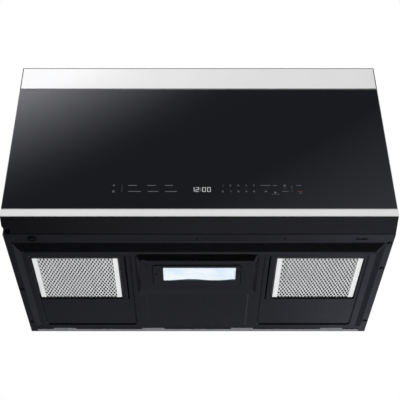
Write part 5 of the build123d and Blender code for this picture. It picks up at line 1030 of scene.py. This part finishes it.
# a pale floor that the underside mirrors: dim near the horizon, which falls off to both sides, and
# to the left, with a window to the right
HORIZON, HORIZON_FALL = (0.0, -0.05), 0.13
FLOOR_LEVEL, FLOOR_RISE, WALL_LEVEL = 0.14, 0.055, 0.09
DIM_LEFT, DIM_FRONT = -0.10, -0.06
WINDOW_FOOT, WINDOW_LEVEL = 0.663, 2.88
horizon = sky.total(to_z, sky.product(sky.math("ABSOLUTE", to_x), HORIZON_FALL))
window = sky.product(
    smooth(to_x, 0.07, 0.25),
    sky.math("MAXIMUM", sky.product(sky.total(to_z, WINDOW_FOOT), WINDOW_LEVEL), 0.0),
    smooth(to_z, -0.25, -0.42),
)
low_floor = sky.total(
    smooth(horizon, *HORIZON, 0.0, FLOOR_LEVEL),
    smooth(to_z, -0.20, -0.50, 0.0, FLOOR_RISE),
    sky.product(smooth(to_x, -0.30, -0.48, 0.0, WALL_LEVEL), smooth(horizon, *HORIZON)),
    sky.product(smooth(to_x, -0.13, -0.21, 0.0, DIM_LEFT), smooth(to_z, -0.35, -0.50)),
    sky.product(smooth(to_x, -0.04, 0.04), smooth(to_z, -0.545, -0.575, 0.0, DIM_FRONT)),
    window,
)
# straight below, where it darkens to the left
BELOW_EDGE = 0.27
below = sky.product(
    sky.math("DIVIDE", sky.total(to_x, BELOW_EDGE), BELOW_EDGE, True),
    smooth(to_z, -0.86, -0.95, 0.66, 0.355),
)
back = blended(low_floor, below, smooth(to_z, -0.62, -0.80))

# only mirrors see the panel, card and floor: other rays meet an even studio, and the background of
# the view is white
AMBIENT = 0.52
COOL_FRONT, COOL_FLOOR, NEUTRAL = (0.985, 0.985, 1.045), (0.96, 0.98, 1.17), (1.0, 1.0, 1.0)
facing = smooth(to_y, 0.02, 0.22)
ray = sky.new("ShaderNodeLightPath").outputs
mirror_ray = ray["Is Glossy Ray"]
white_ray = sky.math("MAXIMUM", ray["Is Camera Ray"], ray["Is Transmission Ray"])
strength = blended(AMBIENT, blended(front, back, facing), mirror_ray)
strength = blended(strength, 1.0, white_ray)
cool = sky.mix(sky.product(facing, smooth(to_z, 0.05, -0.05)), COOL_FRONT, COOL_FLOOR)
background = sky.new("ShaderNodeBackground")
sky.join(sky.mix(mirror_ray, NEUTRAL, cool), background.inputs["Color"])
sky.join(strength, background.inputs["Strength"])
sky.join(background.outputs[0], sky.new("ShaderNodeOutputWorld").inputs["Surface"])


def lamp(name, at, aim, size, power):
    data = bpy.data.lights.new(name, "AREA")
    data.shape = "RECTANGLE"
    data.size, data.size_y = size
    data.energy = power
    made = bpy.data.objects.new(name, data)
    made.location = at
    made.rotation_mode = "QUATERNION"
    made.rotation_quaternion = (Vector(aim) - Vector(at)).to_track_quat("-Z", "Y")
    made.visible_camera = False
    made.visible_glossy = False
    scene.collection.objects.link(made)


lamp("key", at=(-1.0, -1.5, 1.5), aim=(-0.1, -0.42, 0.30), size=(0.9, 0.7), power=18.2)
lamp("fill", at=(1.5, -2.0, 0.3), aim=(0.2, -0.42, 0.10), size=(1.4, 1.4), power=4.8)
lamp("under", at=(0.1, -0.25, -1.35), aim=(0.0, -0.22, 0.0), size=(1.8, 1.2), power=12.0)
lamp("rear", at=(0.4, 2.2, 1.4), aim=(0.0, 0.0, 0.2), size=(1.6, 1.2), power=16.0)


# ---------------------------------------------------------------- floor

FLOOR_Z, FLOOR_HALF = -2.8, 30
FLOOR_GLOW = 0.42

floor_mesh = bpy.data.meshes.new("floor")
floor_form = bmesh.new()
floor_form.faces.new([
    floor_form.verts.new((x * FLOOR_HALF, y * FLOOR_HALF, FLOOR_Z))
    for x, y in ((-1, -1), (1, -1), (1, 1), (-1, 1))
])
floor_form.to_mesh(floor_mesh)
floor_form.free()
floor = bpy.data.objects.new("floor", floor_mesh)
scene.collection.objects.link(floor)
floor_paint = Surface("floor_paint")
seen = floor_paint.new("ShaderNodeLightPath").outputs["Is Camera Ray"]
cloud = floor_paint.noise(1.3, 4.0)
pale = floor_paint.ramp(cloud, (THIN, (0.84, 0.84, 0.84)), (DENSE, (0.88, 0.88, 0.88)))
floor_paint.set(
    Base_Color=pale,
    Roughness=0.7,
    Emission_Color=pale,
    Emission_Strength=floor_paint.product(seen, FLOOR_GLOW),
)
floor_mesh.materials.append(floor_paint.material)
floor.visible_glossy = False
